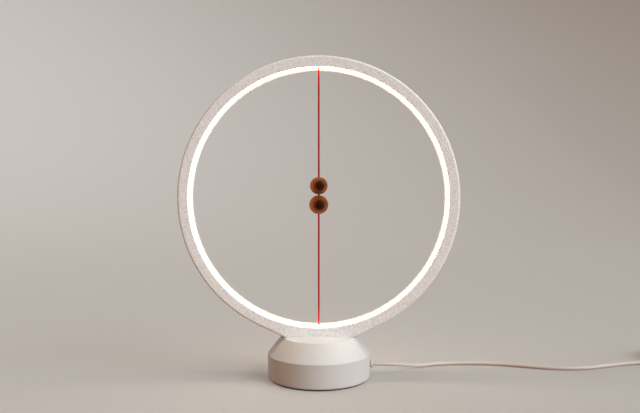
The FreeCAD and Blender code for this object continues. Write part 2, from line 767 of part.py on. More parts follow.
def base_shell():
    """The moulded base: an upright wall, a cone and a slightly crowned top with the ring's seat."""
    rim, height, shoulder = D.rim_radius, D.base_height, D.shoulder_height
    slope = (D.base_radius - rim) / (height - shoulder)
    skew = D.base_wall * root(1 + slope * slope)
    inner_rim = rim + slope * D.base_wall - skew
    inner_shoulder = ceiling - (wall_inside - inner_rim) / slope
    crown = (rim * rim + D.crown_height * D.crown_height) / (2 * D.crown_height)
    points = [
        (wall_inside, D.pad_thickness),
        (D.base_radius, D.pad_thickness),
        (D.base_radius, shoulder),
        (rim, height),
        (ZERO, height + D.crown_height),
        (ZERO, ceiling),
        (inner_rim, ceiling),
        (wall_inside, inner_shoulder),
    ]
    body = turned("base_shell", points, {3: (crown, 1)})
    dress(body, "Fillet", D.base_round, lambda at: on_ring(at, D.base_radius, D.pad_thickness))
    dress(body, "Fillet", D.shoulder_round, lambda at: on_ring(at, D.base_radius, shoulder))
    dress(body, "Fillet", D.shoulder_round, lambda at: on_ring(at, rim, height))
    bosses = new_sketch(body, "XY", offset=cover_top + D.slip_gap)
    for x, y in around(boss_ring, 3, 90):
        circle(bosses, x, y, D.cover_boss_radius)
    extrude(body, bosses, shoulder - cover_top - D.slip_gap)
    pilots = new_sketch(body, "XY", offset=cover_top)
    for x, y in around(boss_ring, 3, 90):
        circle(pilots, x, y, D.clamp_screw_radius + D.bearing_gap)
    extrude(body, pilots, D.pilot_depth, "Pocket", back=True)
    slot = new_sketch(body, "XY", offset=D.shoulder_height)
    way_x = D.tenon_half_width + D.slip_gap
    way_y = D.tenon_half_depth + D.slip_gap
    rectangle(slot, -way_x, way_x, -way_y, way_y)
    extrude(body, slot, None, "Pocket", back=True)
    recess = new_sketch(body, "XY", offset=D.base_height)
    way_x = D.foot_half_width + D.recess_margin
    way_y = half_depth + D.slip_gap
    rectangle(recess, -way_x, way_x, -way_y, way_y)
    extrude(body, recess, None, "Pocket", back=True)
    outlet = new_sketch(body, "YZ")
    circle(outlet, ZERO, lead_height, D.grommet_neck + D.slip_gap)
    extrude(body, outlet, None, "Pocket", back=True)


def on_ring(at, radius, height):
    """True on a circle about Z of that radius and height."""
    return near(math.hypot(at.x, at.y), radius) and near(at.z, height)


def around(radius, count, first):
    """Points evenly spaced on a circle about the origin."""
    turns = [math.radians(first + 360 / count * index) for index in range(count)]
    return [(radius * math.cos(turn), radius * math.sin(turn)) for turn in turns]


def board_corners():
    """The four places where posts carry the control board."""
    return [(x * D.post_x, y * D.post_y) for x in (-1, 1) for y in (-1, 1)]


def bottom_parts():
    """Bottom cover with the board's posts, ballast plate, pad and the cover's screws."""
    body = new_body("base_bottom_cover", z=D.pad_thickness)
    disc = new_sketch(body, "XY")
    circle(disc, ZERO, ZERO, wall_inside - 2 * D.slip_gap)
    extrude(body, disc, D.cover_thickness)
    posts = new_sketch(body, "XY")
    for x, y in board_corners():
        circle(posts, x, y, D.post_radius)
    extrude(body, posts, D.board_height - D.pad_thickness)
    holes = new_sketch(body, "XY")
    for x, y in around(boss_ring, 3, 90):
        circle(holes, x, y, D.clamp_screw_radius + D.slip_gap)
    extrude(body, holes, None, "Pocket", back=True)
    sinks = new_sketch(body, "XY")
    for x, y in around(boss_ring, 3, 90):
        circle(sinks, x, y, D.clamp_screw_radius * HEAD_RADIUS + D.slip_gap)
    extrude(body, sinks, D.cover_screw_seat, "Pocket", back=True)
    pilots = new_sketch(body, "XY", offset=D.cover_thickness)
    for x, y in board_corners():
        circle(pilots, x, y, D.screw_radius + D.bearing_gap)
    extrude(body, pilots, None, "Pocket", back=True)
    ballast = new_body("ballast_plate", z=cover_top)
    plate = new_sketch(ballast, "XY")
    circle(plate, ZERO, ZERO, boss_ring - D.cover_boss_radius - 2 * D.free_gap)
    for x, y in board_corners():
        circle(plate, x, y, D.post_radius + D.free_gap)
    extrude(ballast, plate, D.ballast_thickness)
    pad = cylinder("anti_slip_pad", D.base_radius - D.pad_inset, D.pad_thickness)
    keep(pad, "anti_slip_pad")
    seat_z = D.pad_thickness + D.cover_screw_seat
    screws = []
    for x, y in around(boss_ring, 3, 90):
        name = f"cover_screw_{len(screws)}"
        screws.append(flat_screw(name, D.clamp_screw_radius, (x, y, seat_z)))
    group("base_cover_screws", screws)


def flat_screw(name, radius, at):
    """A screw with a low flat head whose shank goes up from its seat."""
    x, y, z = at
    head = D.cover_screw_head
    shank = cylinder(f"{name}_shank", radius, D.cover_screw_length, x, y, z)
    cap = cylinder(f"{name}_head", radius * HEAD_RADIUS, head, x, y, z - head)
    screw = DOC.addObject("Part::MultiFuse", name)
    screw.Shapes = [shank, cap]
    return screw


def block(label, low, size):
    """A rectangular piece from its low corner and its three sizes."""
    item = DOC.addObject("Part::Box", label)
    for field, length in zip(("Length", "Width", "Height"), size):
        bind(item, field, length)
    place(item, *low)
    return item


def electronics():
    """Control board, its screws, chip, coil, capacitors and the two connectors."""
    body = new_body("control_board", z=D.board_height)
    plan = new_sketch(body, "XY")
    left, right, y, cut = -D.board_left, D.board_right, D.board_half_depth, D.board_corner
    points = [
        (right, cut - y),
        (right, y - cut),
        (right - cut, y),
        (left + cut, y),
        (left, y - cut),
        (left, cut - y),
        (left + cut, -y),
        (right - cut, -y),
    ]
    outline(plan, points)
    for x, corner_y in board_corners():
        circle(plan, x, corner_y, D.screw_radius + D.slip_gap)
    extrude(body, plan, D.board_thickness)
    screws = []
    for x, corner_y in board_corners():
        name = f"board_screw_{len(screws)}"
        at = (x, corner_y, board_top)
        screws.append(pan_screw(name, D.screw_radius, D.board_screw_length, at, up=False))
    group("board_screws", screws)
    low = (D.chip_x, D.chip_y, board_top)
    keep(block("driver_chip", low, (D.chip_length, D.chip_depth, D.chip_height)), "driver_chip")
    radius, height = D.inductor_radius, D.inductor_height
    inductor = cylinder("power_inductor", radius, height, D.inductor_x, D.inductor_y, board_top)
    keep(inductor, "power_inductor")
    cans = []
    for step in (0, 1):
        at = (D.capacitor_x - step * D.capacitor_pitch, D.capacitor_y, board_top)
        cans.append(cylinder(f"capacitor_{step}", D.capacitor_radius, D.capacitor_height, *at))
    group("capacitors", cans)
    side, tall = D.connector_half, D.connector_height
    low = (D.lead_connector_x, -side, board_top)
    keep(block("lead_connector", low, (D.lead_connector_length, 2 * side, tall)), "lead_connector")
    low = (D.wire_connector_x, D.wire_connector_y, board_top)
    size = (D.wire_connector_length, D.wire_connector_depth, tall)
    keep(block("wire_connector", low, size), "wire_connector")


# The supply wires' bends below the clamp plate, chosen by hand: millimetres along X from the wire's
# channel, share of the way to the connector along Y, and millimetres below the channel's bend
NEAR_WIRE_BEND = (3.0, 0.5, 4.0)
FAR_WIRE_BEND = (1.0, 0.62, 3.5)
# The far wire's last bend, in millimetres before its landing and above the connector
FAR_WIRE_APPROACH = (6.0, 5.5)


def supply_wires():
    """Two wires from the strip's ends, down the tenon's channels to their connector."""
    turn = math.radians(number(D.strip_gap_angle + D.wire_start_angle))
    start_radius = number(outer_wall - D.strip_thickness - D.wire_radius - 2 * D.slip_gap)
    start_x = start_radius * math.sin(turn)
    start_z = number(ring_centre) - start_radius * math.cos(turn)
    bridge = number(ring_centre - block_top + D.wire_radius + D.slip_gap)
    channel = number(D.wire_channel_x)
    block_edge = number(D.tenon_half_width + D.wire_side_gap)
    inner_bend = number(D.wire_channel_x + D.wire_inner_bend)
    high = number(plate_low - D.wire_exit_drop)
    top = number(board_top + D.connector_height)
    above = top + number(D.wire_landing_rise)
    land_x = number(D.wire_connector_x + D.wire_landing_inset)
    second_x = land_x + number(D.wire_landing_pitch)
    land_y = number(D.wire_connector_y + D.wire_connector_depth / 2)
    radius = number(D.wire_radius)
    routes = []
    for side, bend in ((1, NEAR_WIRE_BEND), (-1, FAR_WIRE_BEND)):
        shift, share, drop = bend
        routes.append([
            V(side * start_x, 0, start_z),
            V(side * block_edge, 0, bridge + number(D.wire_side_rise)),
            V(side * inner_bend, 0, bridge),
            V(side * channel, 0, bridge),
            V(side * channel, 0, high),
            V(side * channel + shift, land_y * share, high - drop),
        ])
    before, rise = FAR_WIRE_APPROACH
    routes[0] += [V(second_x, land_y, above), V(second_x, land_y, top)]
    routes[1] += [V(land_x - before, land_y, top + rise), V(land_x, land_y, above)]
    routes[1] += [V(land_x, land_y, top)]
    wires = [swept(route, radius)[0] for route in routes]
    solid("led_supply_wires", Part.makeCompound(wires))


# ---------------------------------------------------------------- pull switch


def micro_switch():
    """Switch body with its plunger well and mounting holes, and the plunger."""
    body = new_body("micro_switch_body", x=plunger_x, z=board_top)
    plan = new_sketch(body, "XZ")
    rectangle(plan, -switch_behind, D.switch_lead, ZERO, D.switch_height)
    extrude(body, plan, D.switch_depth, side="Symmetric")
    holes = new_sketch(body, "XZ")
    for x in (-D.switch_hole_behind, D.switch_hole_ahead):
        circle(holes, x, D.switch_hole_height, D.switch_hole)
    extrude(body, holes, None, "Pocket", side="Symmetric")
    well = new_sketch(body, "XY", offset=D.switch_height)
    circle(well, ZERO, ZERO, D.plunger_radius + D.slip_gap)
    plunger_top = lever_low - D.free_gap
    plunger_low = plunger_top - D.plunger_length
    depth = board_top + D.switch_height - plunger_low + D.plunger_room
    extrude(body, well, depth, "Pocket")
    top = D.plunger_length
    dome = D.plunger_dome
    points = [
        (ZERO, ZERO),
        (D.plunger_radius, ZERO),
        (D.plunger_radius, top - dome),
        (D.plunger_radius - dome, top),
        (ZERO, top),
    ]
    turned("switch_plunger", points, x=plunger_x, z=plunger_low)


def lever_bracket():
    """U-shaped bracket round the switch's end, and the pin that the lever turns on."""
    ear_in = D.switch_depth / 2 + D.free_gap
    ear_out = ear_in + D.bracket_sheet
    back_in = -switch_behind - 2 * D.free_gap
    body = new_body("lever_bracket", x=plunger_x, z=board_top)
    plan = new_sketch(body, "XY")
    front = D.ear_reach - D.plunger_arm
    back_out = back_in - D.bracket_sheet
    points = [
        (front, -ear_out),
        (front, -ear_in),
        (back_in, -ear_in),
        (back_in, ear_in),
        (front, ear_in),
        (front, ear_out),
        (back_out, ear_out),
        (back_out, -ear_out),
    ]
    outline(plan, points)
    extrude(body, plan, D.lever_height + D.ear_rise - board_top)
    gate = new_sketch(body, "YZ", offset=back_in - D.bracket_sheet / 2)
    sill = lever_low - board_top - D.gate_sill
    rectangle(gate, -ear_in, ear_in, sill, sill + D.lever_height)
    extrude(body, gate, D.bracket_sheet * 2, "Pocket", side="Symmetric")
    bores = new_sketch(body, "XZ")
    circle(bores, -D.plunger_arm, D.lever_height - board_top, D.pin_radius + D.bearing_gap)
    extrude(body, bores, None, "Pocket", side="Symmetric")
    pin = new_body("lever_pin", x=pin_x, z=D.lever_height)
    section = new_sketch(pin, "XZ")
    circle(section, ZERO, ZERO, D.pin_radius)
    extrude(pin, section, 2 * (ear_out + D.pin_end), side="Symmetric")


def switch_lever():
    """The lever: a barrel on the pin, an arm over the plunger and an eye for the pull cord."""
    body = new_body("switch_lever", z=D.lever_height)
    arm = new_sketch(body, "XY", offset=-D.lever_thickness / 2)
    width = D.lever_half_width
    tip = width + D.lever_flare
    points = [(pin_x, -width), (ZERO, -tip), (ZERO, tip), (pin_x, width)]
    outline(arm, points, {1: (tip + D.lever_flare, 1)})
    extrude(body, arm, D.lever_thickness)
    barrel = new_sketch(body, "XZ")
    circle(barrel, pin_x, ZERO, D.lever_barrel)
    extrude(body, barrel, D.switch_depth - 2 * D.slip_gap, side="Symmetric")
    bore = new_sketch(body, "XZ")
    circle(bore, pin_x, ZERO, D.pin_radius + D.bearing_gap)
    extrude(body, bore, None, "Pocket", side="Symmetric")
    eye = new_sketch(body, "XY")
    circle(eye, ZERO, ZERO, D.lever_eye)
    extrude(body, eye, None, "Pocket", side="Symmetric")


# Points that the spring's helix passes in each turn
HELIX_STEPS = 12


def pull_line():
    """The cord below the lower knot, its ferrule under the lever and the return spring."""
    low = ferrule_top - D.ferrule_length
    top = lower_pivot - D.knot_radius - D.knot_gap
    keep(cylinder("pull_cord", D.cord_radius, top - low, z=low), "pull_cord")
    bore = D.cord_radius
    points = [
        (bore, ZERO),
        (D.ferrule_radius, ZERO),
        (D.ferrule_radius, D.ferrule_length - D.ferrule_bevel),
        (D.ferrule_radius - D.ferrule_bevel, D.ferrule_length),
        (bore, D.ferrule_length),
    ]
    turned("pull_ferrule", points, z=low)
    return_spring()


def return_spring():
    """The spring between the lever and the guide tube, as a wire along a smooth helix."""
    start = lever_high + D.slip_gap + D.spring_wire
    rise = number(D.guide_end_height - D.slip_gap - D.spring_wire - start)
    radius = number(D.spring_radius)
    steps = round(number(D.spring_turns) * HELIX_STEPS)
    points = []
    for step in range(steps + 1):
        turn = math.tau * step / HELIX_STEPS
        points.append(V(radius * math.cos(turn), radius * math.sin(turn), rise * step / steps))
    helix = Part.BSplineCurve()
    helix.interpolate(points)
    heading = helix.tangent(helix.FirstParameter)[0]
    section = Part.Wire([Part.makeCircle(number(D.spring_wire), points[0], heading)])
    spring = solid("return_spring", Part.Wire([helix.toShape()]).makePipeShell([section], True, True))
    place(spring, z=start)


# ---------------------------------------------------------------- pendants


# An end knot's upright side and its flat top, as shares of its height and its radius
KNOT_SIDE = 0.4
KNOT_TOP = 0.6


def pendant(side, pivot, way, radius, height, middle):
    """One cord with its swivel knot, wooden bead, ring magnet and end knot.

    way is 1 where the cord hangs down from its knot and -1 where it stands up; side names it.
    """
    knot = DOC.addObject("Part::Sphere", f"{side}_cord_knot")
    bind(knot, "Radius", D.knot_radius)
    place(knot, z=pivot)
    keep(knot, f"{side}_cord_knot")
    half = height / 2
    flat = root(radius * radius - half * half)
    pocket = D.magnet_radius + D.bearing_gap
    bead = [
        (D.bead_bore, half),
        (D.bead_bore, D.magnet_length - half + D.slip_gap),
        (pocket, D.magnet_length - half + D.slip_gap),
        (pocket, -half),
        (flat, -half),
        (flat, half),
    ]
    upturned = way < 0
    turned(f"{side}_bead", bead, {4: (radius, 1)}, z=middle, upturned=upturned)
    face = middle - half * way
    ring = [
        (D.cord_radius + D.bearing_gap, ZERO),
        (D.magnet_radius, ZERO),
        (D.magnet_radius, D.magnet_length),
        (D.cord_radius + D.bearing_gap, D.magnet_length),
    ]
    turned(f"{side}_magnet", ring, z=face, upturned=upturned)
    top = D.end_knot_height
    dome = [
        (ZERO, ZERO),
        (D.end_knot_radius, ZERO),
        (D.end_knot_radius, -top * KNOT_SIDE),
        (D.end_knot_radius * KNOT_TOP, -top),
        (ZERO, -top),
    ]
    turned(f"{side}_end_knot", dome, z=face, upturned=upturned)
    start = pivot - (D.knot_radius + D.knot_gap) * way
    low, high = (face, start) if way > 0 else (start, face)
    keep(cylinder(f"{side}_cord", D.cord_radius, high - low, z=low), f"{side}_cord")


# ---------------------------------------------------------------- lead


def grommet():
    """The stepped grommet in the base's wall and the stop ring crimped on the lead inside."""
    body = new_body("lead_grommet", z=lead_height)
    section = new_sketch(body, "XZ")
    bore = D.lead_radius + D.bearing_gap
    flange_face = wall_inside - D.free_gap
    flange_end = flange_face - D.grommet_flange
    collar_face = D.base_radius + D.grommet_step
    collar_end = D.base_radius + D.grommet_collar_end
    groove = D.grommet_neck - D.grommet_groove
    flange = D.grommet_neck + D.grommet_flange_width
    points = [
        (flange_end, bore),
        (grommet_end, bore),
        (grommet_end, bore + D.grommet_nose_wall),
        (collar_end, groove),
        (collar_end, D.grommet_collar),
        (collar_face, D.grommet_collar),
        (collar_face, groove),
        (D.base_radius + D.slip_gap, groove),
        (D.base_radius + D.slip_gap, D.grommet_neck),
        (flange_face, D.grommet_neck),
        (flange_face, flange),
        (flange_end, flange),
    ]
    outline(section, points)
    revolve(body, section, "H_Axis")
    stop = new_body("lead_stop_ring", z=lead_height)
    section = new_sketch(stop, "XZ")
    far = flange_end - D.slip_gap
    rectangle(section, far - D.stop_length, far, bore, bore + D.stop_width)
    revolve(stop, section, "H_Axis")


def inner_lead():
    """The lead's last stretch, from its connector to the grommet's mouth."""
    start = D.lead_connector_x + D.lead_connector_length
    item = DOC.addObject("Part::Cylinder", "lead_inner_end")
    bind(item, "Radius", D.lead_radius)
    bind(item, "Height", grommet_end - start)
    item.Placement = FreeCAD.Placement(V(), FreeCAD.Rotation(V(0, 1, 0), 90))
    place(item, x=start, z=lead_height)
    keep(item, "lead_inner_end")


# The lead's route on the floor, chosen by hand: millimetres, X, Y and height of its axis
LEAD_ROUTE = [
    (60, 0, 11.7),
    (73, 4, 9.8),
    (84, 13, 5.6),
    (95, 24, 2.4),
    (109, 33, 1.9),
    (130, 38.5, 1.9),
    (156, 40, 1.9),
    (178, 36, 1.9),
    (201, 27, 1.9),
    (226, 20, 1.9),
    (252, 22, 1.9),
    (280, 33, 1.9),
    (308, 42, 1.9),
    (331, 39.8, 1.9),
]
# Its put-away turns and its plug, chosen by hand
COIL_CENTRE = (356, 62)
COIL_MIDDLE_RADIUS = 22.5
COIL_LAYERS = 2
COIL_COLUMNS = 4
COIL_ENTRY = 5
PLUG_AT = (328.2, 14.0)
TAIL_ROUTE = [
    (329.0, 58, 6.1),
    (328.6, 49, 6.1),
    (328.3, 37, 5.8),
    (328.2, 25, 4.0),
    (328.2, 14, 4.0),
]
TIE_SHEET = 0.6
TIE_WIDTH = 5.0


def lead():
    """The lead outside the base, its put-away turns with a tie, and its plug."""
    radius = number(D.lead_radius)
    slip = number(D.slip_gap)
    exit_point = V(number(grommet_end), 0, number(lead_height))
    coil_x, coil_y = COIL_CENTRE
    outer = COIL_MIDDLE_RADIUS + COIL_COLUMNS * radius
    inner = COIL_MIDDLE_RADIUS - COIL_COLUMNS * radius
    join = V(coil_x - COIL_ENTRY, coil_y - outer + radius, TIE_SHEET + radius + slip)
    lay_lead("power_lead", [exit_point] + [V(*point) for point in LEAD_ROUTE] + [join], radius)
    lay_lead("plug_lead", [V(*point) for point in TAIL_ROUTE], radius)
    height = 2 * radius * COIL_LAYERS
    coil = Part.makeCylinder(outer, height).cut(Part.makeCylinder(inner, height))
    place(solid("lead_coil", coil), coil_x, coil_y, TIE_SHEET + slip / 2)
    room = radius * COIL_COLUMNS + number(D.free_gap)
    band = room + TIE_SHEET
    side = -TIE_WIDTH / 2
    tie = Part.makeBox(2 * band, TIE_WIDTH, height + 2 * TIE_SHEET + slip, V(-band, side, 0))
    hole = Part.makeBox(2 * room, TIE_WIDTH, height + slip, V(-room, side, TIE_SHEET))
    place(solid("lead_tie", tie.cut(hole)), coil_x - COIL_MIDDLE_RADIUS, coil_y)
    plug()


def lay_lead(label, points, radius):
    """A stretch of the lead; prints its length, how full its volume is and its bends' radii."""
    pipe, length, radii = swept(points, radius)
    solid(label, pipe)
    full = pipe.Volume / (math.pi * radius**2 * length)
    print(f"{label}: {length:.1f} mm long, volume over section x length {full:.4f}, "
          f"radii {[round(r) for r in radii]}")


def plug():
    """The moulded plug body, its metal shell and the contact tongue inside, pointing to -Y."""
    plug_x, plug_y = PLUG_AT
    middle = D.plug_height / 2
    body = new_body("plug_body", x=plug_x, y=plug_y, z=middle)
    plan = new_sketch(body, "XY", offset=-middle)
    half, neck, length = D.plug_width / 2, D.plug_neck, D.plug_length
    flare = neck + D.plug_neck_flare
    points = [
        (neck, ZERO),
        (-neck, ZERO),
        (-flare, -D.plug_neck_length),
        (-half, -D.plug_shoulder),
        (-half, -length),
        (half, -length),
        (half, -D.plug_shoulder),
        (flare, -D.plug_neck_length),
    ]
    outline(plan, points)
    extrude(body, plan, D.plug_height)
    dress(body, "Fillet", D.plug_round, plug_edges)
    shell = new_body("plug_shell", x=plug_x, y=plug_y - length, z=middle)
    frame = new_sketch(shell, "XZ")
    x, z, wall = D.contact_width / 2, D.contact_height / 2, D.contact_wall
    rectangle(frame, -x, x, -z, z)
    rectangle(frame, wall - x, x - wall, wall - z, z - wall)
    extrude(shell, frame, D.contact_length)
    reach = D.contact_length - D.tongue_inset
    low = (plug_x - x + 2 * wall, plug_y - length - reach, middle + D.slip_gap)
    tongue = block("plug_tongue", low, (2 * x - 4 * wall, reach, D.tongue_height))
    keep(tongue, "plug_tongue")


def plug_edges(at):
    """True at the plug body's upper and lower outer edges and its outer corners."""
    return near(abs(at.x), D.plug_width / 2)


def build():
    """Makes every sub-part, checks it and writes its file."""
    ring_shell("ring_front_shell", front=True)
    ring_shell("ring_rear_shell", front=False)
    ring_diffuser()
    light_strip()
    cord_fittings()
    ring_clamp()
    base_shell()
    bottom_parts()
    electronics()
    supply_wires()
    micro_switch()
    lever_bracket()
    switch_lever()
    pull_line()
    pendant("upper", upper_pivot, 1, D.upper_bead_radius, D.upper_bead_height, upper_bead_middle)
    pendant("lower", lower_pivot, -1, D.lower_bead_radius, D.lower_bead_height, lower_bead_middle)
    grommet()
    inner_lead()
    lead()
    DOC.recompute()


def check():
    """Stops the script where an object failed or a sub-part's shape isn't sound."""
    for item in DOC.Objects:
        if {"Invalid", "Error"} & set(item.State):
            raise ValueError(f"{item.Label} is {item.State}")
    for item in SUB_PARTS:
        if item.Shape.isNull() or not item.Shape.isValid() or not item.Shape.Solids:
            raise ValueError(f"{item.Label} has no sound shape")


build()
check()
os.makedirs("parts", exist_ok=True)
for part in SUB_PARTS:
    part.Shape.exportStep(os.path.join("parts", f"{part.Label}.step"))
    bounds = part.Shape.BoundBox
    print(f"{part.Label}: {len(part.Shape.Solids)} solid(s), {part.Shape.Volume:.1f} mm3, "
          f"z {bounds.ZMin:.2f} to {bounds.ZMax:.2f}")
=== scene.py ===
"""Dresses the magnetic balance lamp: finishes, braided cords, turned beads, lead, light and camera.

Metres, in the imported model's own frame: +Z up, the ring's front faces -Y, the lead leaves at +X.
"""

import logging
import math
from dataclasses import dataclass, replace
from enum import Enum
from typing import Callable, Sequence

import bmesh
import bpy
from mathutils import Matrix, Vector


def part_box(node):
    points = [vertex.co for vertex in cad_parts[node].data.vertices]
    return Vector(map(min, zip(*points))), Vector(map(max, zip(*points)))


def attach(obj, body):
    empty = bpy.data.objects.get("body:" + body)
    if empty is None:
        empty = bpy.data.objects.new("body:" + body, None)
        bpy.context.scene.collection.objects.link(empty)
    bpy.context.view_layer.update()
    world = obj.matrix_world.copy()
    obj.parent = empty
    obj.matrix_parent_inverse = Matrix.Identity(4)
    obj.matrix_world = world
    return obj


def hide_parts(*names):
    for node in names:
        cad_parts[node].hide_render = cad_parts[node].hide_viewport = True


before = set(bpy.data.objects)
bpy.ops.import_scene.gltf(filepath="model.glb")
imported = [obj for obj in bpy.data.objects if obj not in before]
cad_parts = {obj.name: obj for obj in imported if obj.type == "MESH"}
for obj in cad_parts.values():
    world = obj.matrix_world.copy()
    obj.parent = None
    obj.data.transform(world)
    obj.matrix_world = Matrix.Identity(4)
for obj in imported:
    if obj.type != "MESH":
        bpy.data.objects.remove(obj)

LOG = logging.getLogger("balance_lamp")
MM = 0.001
FULL_TURN = 360.0       # degrees
LEVEL = 90.0            # a camera's tilt in degrees when it looks level
SHARP_ANGLE = 35.0      # degrees between two faces above which their edge looks sharp
POLE = 1e-9             # a radius below which a turned profile is on its axis
SHORTEST_RUN = 1e-12    # keeps a run of no length from dividing by nothing
DEPTH_AXIS = Vector((0.0, 1.0, 0.0))
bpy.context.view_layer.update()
Point = tuple[float, float, float]
Colour = tuple[float, float, float]
Span = tuple[float, float]
BLACK: Colour = (0.0, 0.0, 0.0)


class Body(str, Enum):
    """The lamp's bodies that new pieces ride on."""

    LAMP = "lamp"
    UPPER_KNOT = "upper_knot"
    UPPER_PENDANT = "upper_pendant"
    LOWER_KNOT = "lower_knot"
    LOWER_PENDANT = "lower_pendant"


class Side(str, Enum):
    """The two pendants."""

    UPPER = "upper"
    LOWER = "lower"


class Slot(str, Enum):
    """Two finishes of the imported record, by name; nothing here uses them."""

    RED_CORD = "red_cord"
    LEAD = "white_lead"


class Maths(str, Enum):
    """What a Math node does with its values."""

    ADD = "ADD"
    SUBTRACT = "SUBTRACT"
    MULTIPLY = "MULTIPLY"
    DIVIDE = "DIVIDE"
    POWER = "POWER"
    ABSOLUTE = "ABSOLUTE"
    SINE = "SINE"


# ------------------------------------------------------------------------------- shader maths


class Socket:
    """An output of a node that can be used in arithmetic; each operator adds its Math node."""

    def __init__(self, graph: "ShaderGraph", end: bpy.types.NodeSocket) -> None:
        """Wraps one output.

        Args:
            graph: the material's graph, which makes the nodes.
            end: the node's output socket.
        """
        self.graph = graph
        self.end = end

    def _joined(self, operation: Maths, *values: "Socket | float") -> "Socket":
        """A Math node of these values."""
        return self.graph.node("Math", {"operation": operation.value}, dict(enumerate(values)))

    def __add__(self, other: "Socket | float") -> "Socket":
        """self + other."""
        return self._joined(Maths.ADD, self, other)

    def __radd__(self, other: float) -> "Socket":
        """other + self."""
        return self._joined(Maths.ADD, other, self)

    def __sub__(self, other: "Socket | float") -> "Socket":
        """self - other."""
        return self._joined(Maths.SUBTRACT, self, other)

    def __rsub__(self, other: float) -> "Socket":
        """other - self."""
        return self._joined(Maths.SUBTRACT, other, self)

    def __mul__(self, other: "Socket | float") -> "Socket":
        """self * other."""
        return self._joined(Maths.MULTIPLY, self, other)

    def __rmul__(self, other: float) -> "Socket":
        """other * self."""
        return self._joined(Maths.MULTIPLY, other, self)

    def __truediv__(self, other: "Socket | float") -> "Socket":
        """self / other."""
        return self._joined(Maths.DIVIDE, self, other)

    def __rtruediv__(self, other: float) -> "Socket":
        """other / self."""
        return self._joined(Maths.DIVIDE, other, self)

    def __pow__(self, other: "Socket | float") -> "Socket":
        """self to the power of other."""
        return self._joined(Maths.POWER, self, other)

    def __rpow__(self, other: float) -> "Socket":
        """other to the power of self."""
        return self._joined(Maths.POWER, other, self)

    def __abs__(self) -> "Socket":
        """The value without its sign."""
        return self._joined(Maths.ABSOLUTE, self)

    def wave(self) -> "Socket":
        """The sine of the value, in radians."""
        return self._joined(Maths.SINE, self)

    def lifted(self) -> "Socket":
        """A value from -1 to 1 brought to 0 to 1."""
        return self * 0.5 + 0.5

    def swing(self, reach: float) -> "Socket":
        """A value from 0 to 1 as a swing about nothing, this far in all."""
        return (self - 0.5) * reach

    def clamped(self) -> "Socket":
        """The value held between 0 and 1."""
        return self.graph.node("Clamp", {}, {0: self})

    def between(self, low: float, high: float) -> "Socket":
        """A smooth step.

        Args:
            low: where the step starts, at 0.
            high: where it ends, at 1.

        Returns:
            The step's value, from 0 to 1.
        """
        settings = {"interpolation_type": "SMOOTHSTEP"}
        return self.graph.node("MapRange", settings, {0: self, 1: low, 2: high, 3: 0.0, 4: 1.0})


@dataclass(frozen=True)
class Noise:
    """One layer of noise: a feature's size in metres, its octaves, their strength and its swirl."""

    size: float
    detail: float = 2.0
    roughness: float = 0.5
    distortion: float = 0.0

    def scaled(self, scale: float) -> "Noise":
        """The same layer with features this many times as large."""
        return replace(self, size=self.size * scale)


